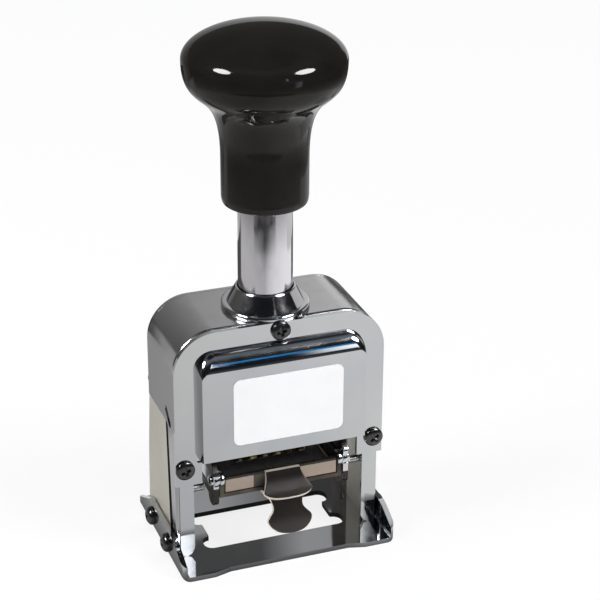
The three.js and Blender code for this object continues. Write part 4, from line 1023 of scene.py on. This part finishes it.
def make_floor():
    """White to the camera. In the metal it is bright near the machine and fades further out, and within a few
    millimetres of the base it is dimmed as painted shade.
    """
    size, level = 4000, -0.02
    corners = [(-size, -size, level), (size, -size, level), (size, size, level), (-size, size, level)]
    floor = make_object("floor", corners, [(0, 1, 2, 3)])
    material = bpy.data.materials.new("floor_white")
    tree = empty_tree(material)
    path = node(tree, "ShaderNodeLightPath")
    spot = coordinates(tree, "Object")
    axes = axes_of(tree, spot)

    def maths(kind, *values):
        return node(tree, "ShaderNodeMath", dict(enumerate(values)), operation=kind).outputs[0]

    def fading(value, scale, offset, tones):
        stops = [(position, (tone, tone, tone)) for position, tone in tones]
        return ramp(tree, maths("MULTIPLY_ADD", value, scale, offset), stops)

    distance = node(tree, "ShaderNodeVectorMath", {0: spot, 1: (0, 0.015, 0)}, operation="DISTANCE").outputs["Value"]
    # metres times two, so that the stops lie between 0 and 1
    far = fading(distance, 2.0, 0.0, [(0.0, 1.0), (0.44, 1.0), (0.52, 0.45), (0.62, 0.18), (0.76, 0.05)])
    side = fading(axes["X"], 2.0, 0.5, [(0.10, 0.54), (0.36, 0.50), (0.50, 0.78), (0.62, 0.92), (0.80, 1.0)])
    # how far a point lies outside the base, whose half width and half depth these are in metres
    beside = maths("SUBTRACT", maths("ABSOLUTE", axes["X"]), 0.0325)
    before = maths("SUBTRACT", maths("ABSOLUTE", axes["Y"]), 0.0234)
    # painted shade: the glow is dimmed close round the base, for the machine's shadow as the metal sees it
    near = fading(maths("MAXIMUM", beside, before), 50.0, 0.1, [(0.08, 0.16), (0.26, 0.40), (0.38, 1.0)])
    strength = maths("MULTIPLY", maths("MULTIPLY", far, side), near)
    glow = node(tree, "ShaderNodeEmission", {"Strength": strength})
    diffuse = node(tree, "ShaderNodeBsdfDiffuse", {"Color": (0.92, 0.92, 0.92, 1)})
    white = node(tree, "ShaderNodeEmission")
    unseen = mixed(tree, path.outputs["Is Glossy Ray"], diffuse, glow)
    bright = mixed(tree, 0.80, diffuse, white)
    shown = mixed(tree, path.outputs["Is Camera Ray"], unseen, bright)
    node(tree, "ShaderNodeOutputMaterial", {"Surface": shown.outputs[0]})
    dress(floor, material)


def make_card(name, corners, tones=((0.0, 1.0), (0.0, 1.0)), strength=1.0, colour=(1, 1, 1)):
    """A board that only shiny surfaces see, with tones across its width."""
    card = make_object(name, corners, [tuple(range(len(corners)))])
    material = bpy.data.materials.new(name)
    tree = empty_tree(material)
    axes = axes_of(tree, coordinates(tree, "Generated"))
    stops = [(position, tuple(tone * part for part in colour)) for position, tone in tones]
    glow = node(tree, "ShaderNodeEmission", {"Color": ramp(tree, axes["X"], stops), "Strength": strength})
    node(tree, "ShaderNodeOutputMaterial", {"Surface": glow.outputs[0]})
    dress(card, material)
    card.visible_camera = card.visible_diffuse = card.visible_transmission = card.visible_shadow = False


def board(x, y, z):
    """An upright board that faces the Y axis, from its ranges in x and z."""
    return [(x[0], y, z[0]), (x[1], y, z[0]), (x[1], y, z[1]), (x[0], y, z[1])]


def make_lamp(name, direction, distance, width, height, power, shine):
    """A lamp, and a card in its place that shows in the metal."""
    data = bpy.data.lights.new(name, "AREA")
    data.shape = "ELLIPSE"
    data.size, data.size_y = width, height
    data.energy = power
    lamp = bpy.data.objects.new(name, data)
    bpy.context.scene.collection.objects.link(lamp)
    aim = Vector((0, -0.005, 0.11))
    out = Vector(direction).normalized()
    spot = aim + out * distance
    lamp.location = spot
    lamp.rotation_mode = "QUATERNION"
    lamp.rotation_quaternion = (aim - spot).to_track_quat("-Z", "Y")
    lamp.visible_glossy = False
    across = Vector((0, 0, 1)).cross(out).normalized()
    up = out.cross(across)
    angles = [2 * math.pi * i / 32 for i in range(32)]
    ring = [(spot + across * width * 0.5 * math.cos(a) + up * height * 0.5 * math.sin(a)) / MM for a in angles]
    make_card(name + "_glow", ring, strength=shine)


def make_cards():
    back_left, back_right, back_low, back_step, back_high = -150, 200, 60, 95, 182
    make_card("card_back", [
        (back_left, 150, back_low), (-60, 150, back_low), (-60, 150, back_step),
        (back_right, 150, back_step), (back_right, 150, back_high), (back_left, 150, back_high),
    ], ((0.0, 0.08), (0.22, 0.22), (0.48, 0.42), (0.72, 0.86)))
    make_card("card_low", board((-60, 130), 60, (0, 44)), ((0.34, 0.36), (0.50, 0.05)))
    mid_tones = ((0.42, 0.075), (0.50, 0.34), (0.58, 0.34), (0.64, 0.06))
    make_card("card_mid", board((-60, 130), 60, (44, 66)), mid_tones)
    make_card("card_band", board((50, 84), -149, (80, 112)), ((0.0, 0.05), (0.3, 0.6), (0.6, 1.0)), 1.7)
    make_card("card_foot", board((43, 61), -300, (150, 238)), strength=3.0)
    # two narrow blue boards that show as the line in the raised panel's roll
    blue = (0.004, 0.38, 1.0)
    make_card("card_blue_low", board((10, 82), -149, (113, 117)), strength=1.3, colour=blue)
    make_card("card_blue_high", board((10, 82), -149, (121, 127)), strength=1.3, colour=blue)
    make_card("card_collar", [(60, -16, 66), (60, 45, 66), (60, 45, 92), (60, -16, 92)], strength=0.65)
    make_card("card_shoulder", board((-180, -98), 150, (0, 60)), strength=0.42)
    # a dark patch on the floor, painted shade that only the metal sees and that shows as the dark wedge in the tube:
    # distance from the plunger, and angle from the camera's side in degrees
    half = [(268, 0), (262, 25), (252, 40), (240, 47), (230, 44), (224, 33), (219, 21), (214, 8), (210, 0)]
    kite = []
    for distance, degrees in half + [(d, -a) for d, a in half[-2:0:-1]]:
        a = -AZIMUTH + math.radians(degrees)
        kite.append((distance * math.sin(a), AXIS_Y - distance * math.cos(a), 0.6))
    make_card("card_painted_shade", kite, ((0.0, 0.02), (0.0, 0.02)))


def make_room():
    make_world()
    make_floor()
    make_cards()
    make_lamp("lamp_left", (-0.786, -0.028, 0.617), 0.95, 0.40, 0.31, 4.3, 40)
    make_lamp("lamp_right", (0.578, -0.537, 0.627), 3.0, 1.46, 1.06, 41, 40)


make_knob()
make_stem()
make_collar()
make_housing()
make_front_plate()
make_label()
make_rear_plate()
make_base()
make_screws()
make_wheels()
make_tabs()
make_side_plates()
make_ink_frame()
make_plain_parts()
make_return_spring()
make_room()
scene = bpy.context.scene
scene.view_settings.view_transform = "Standard"
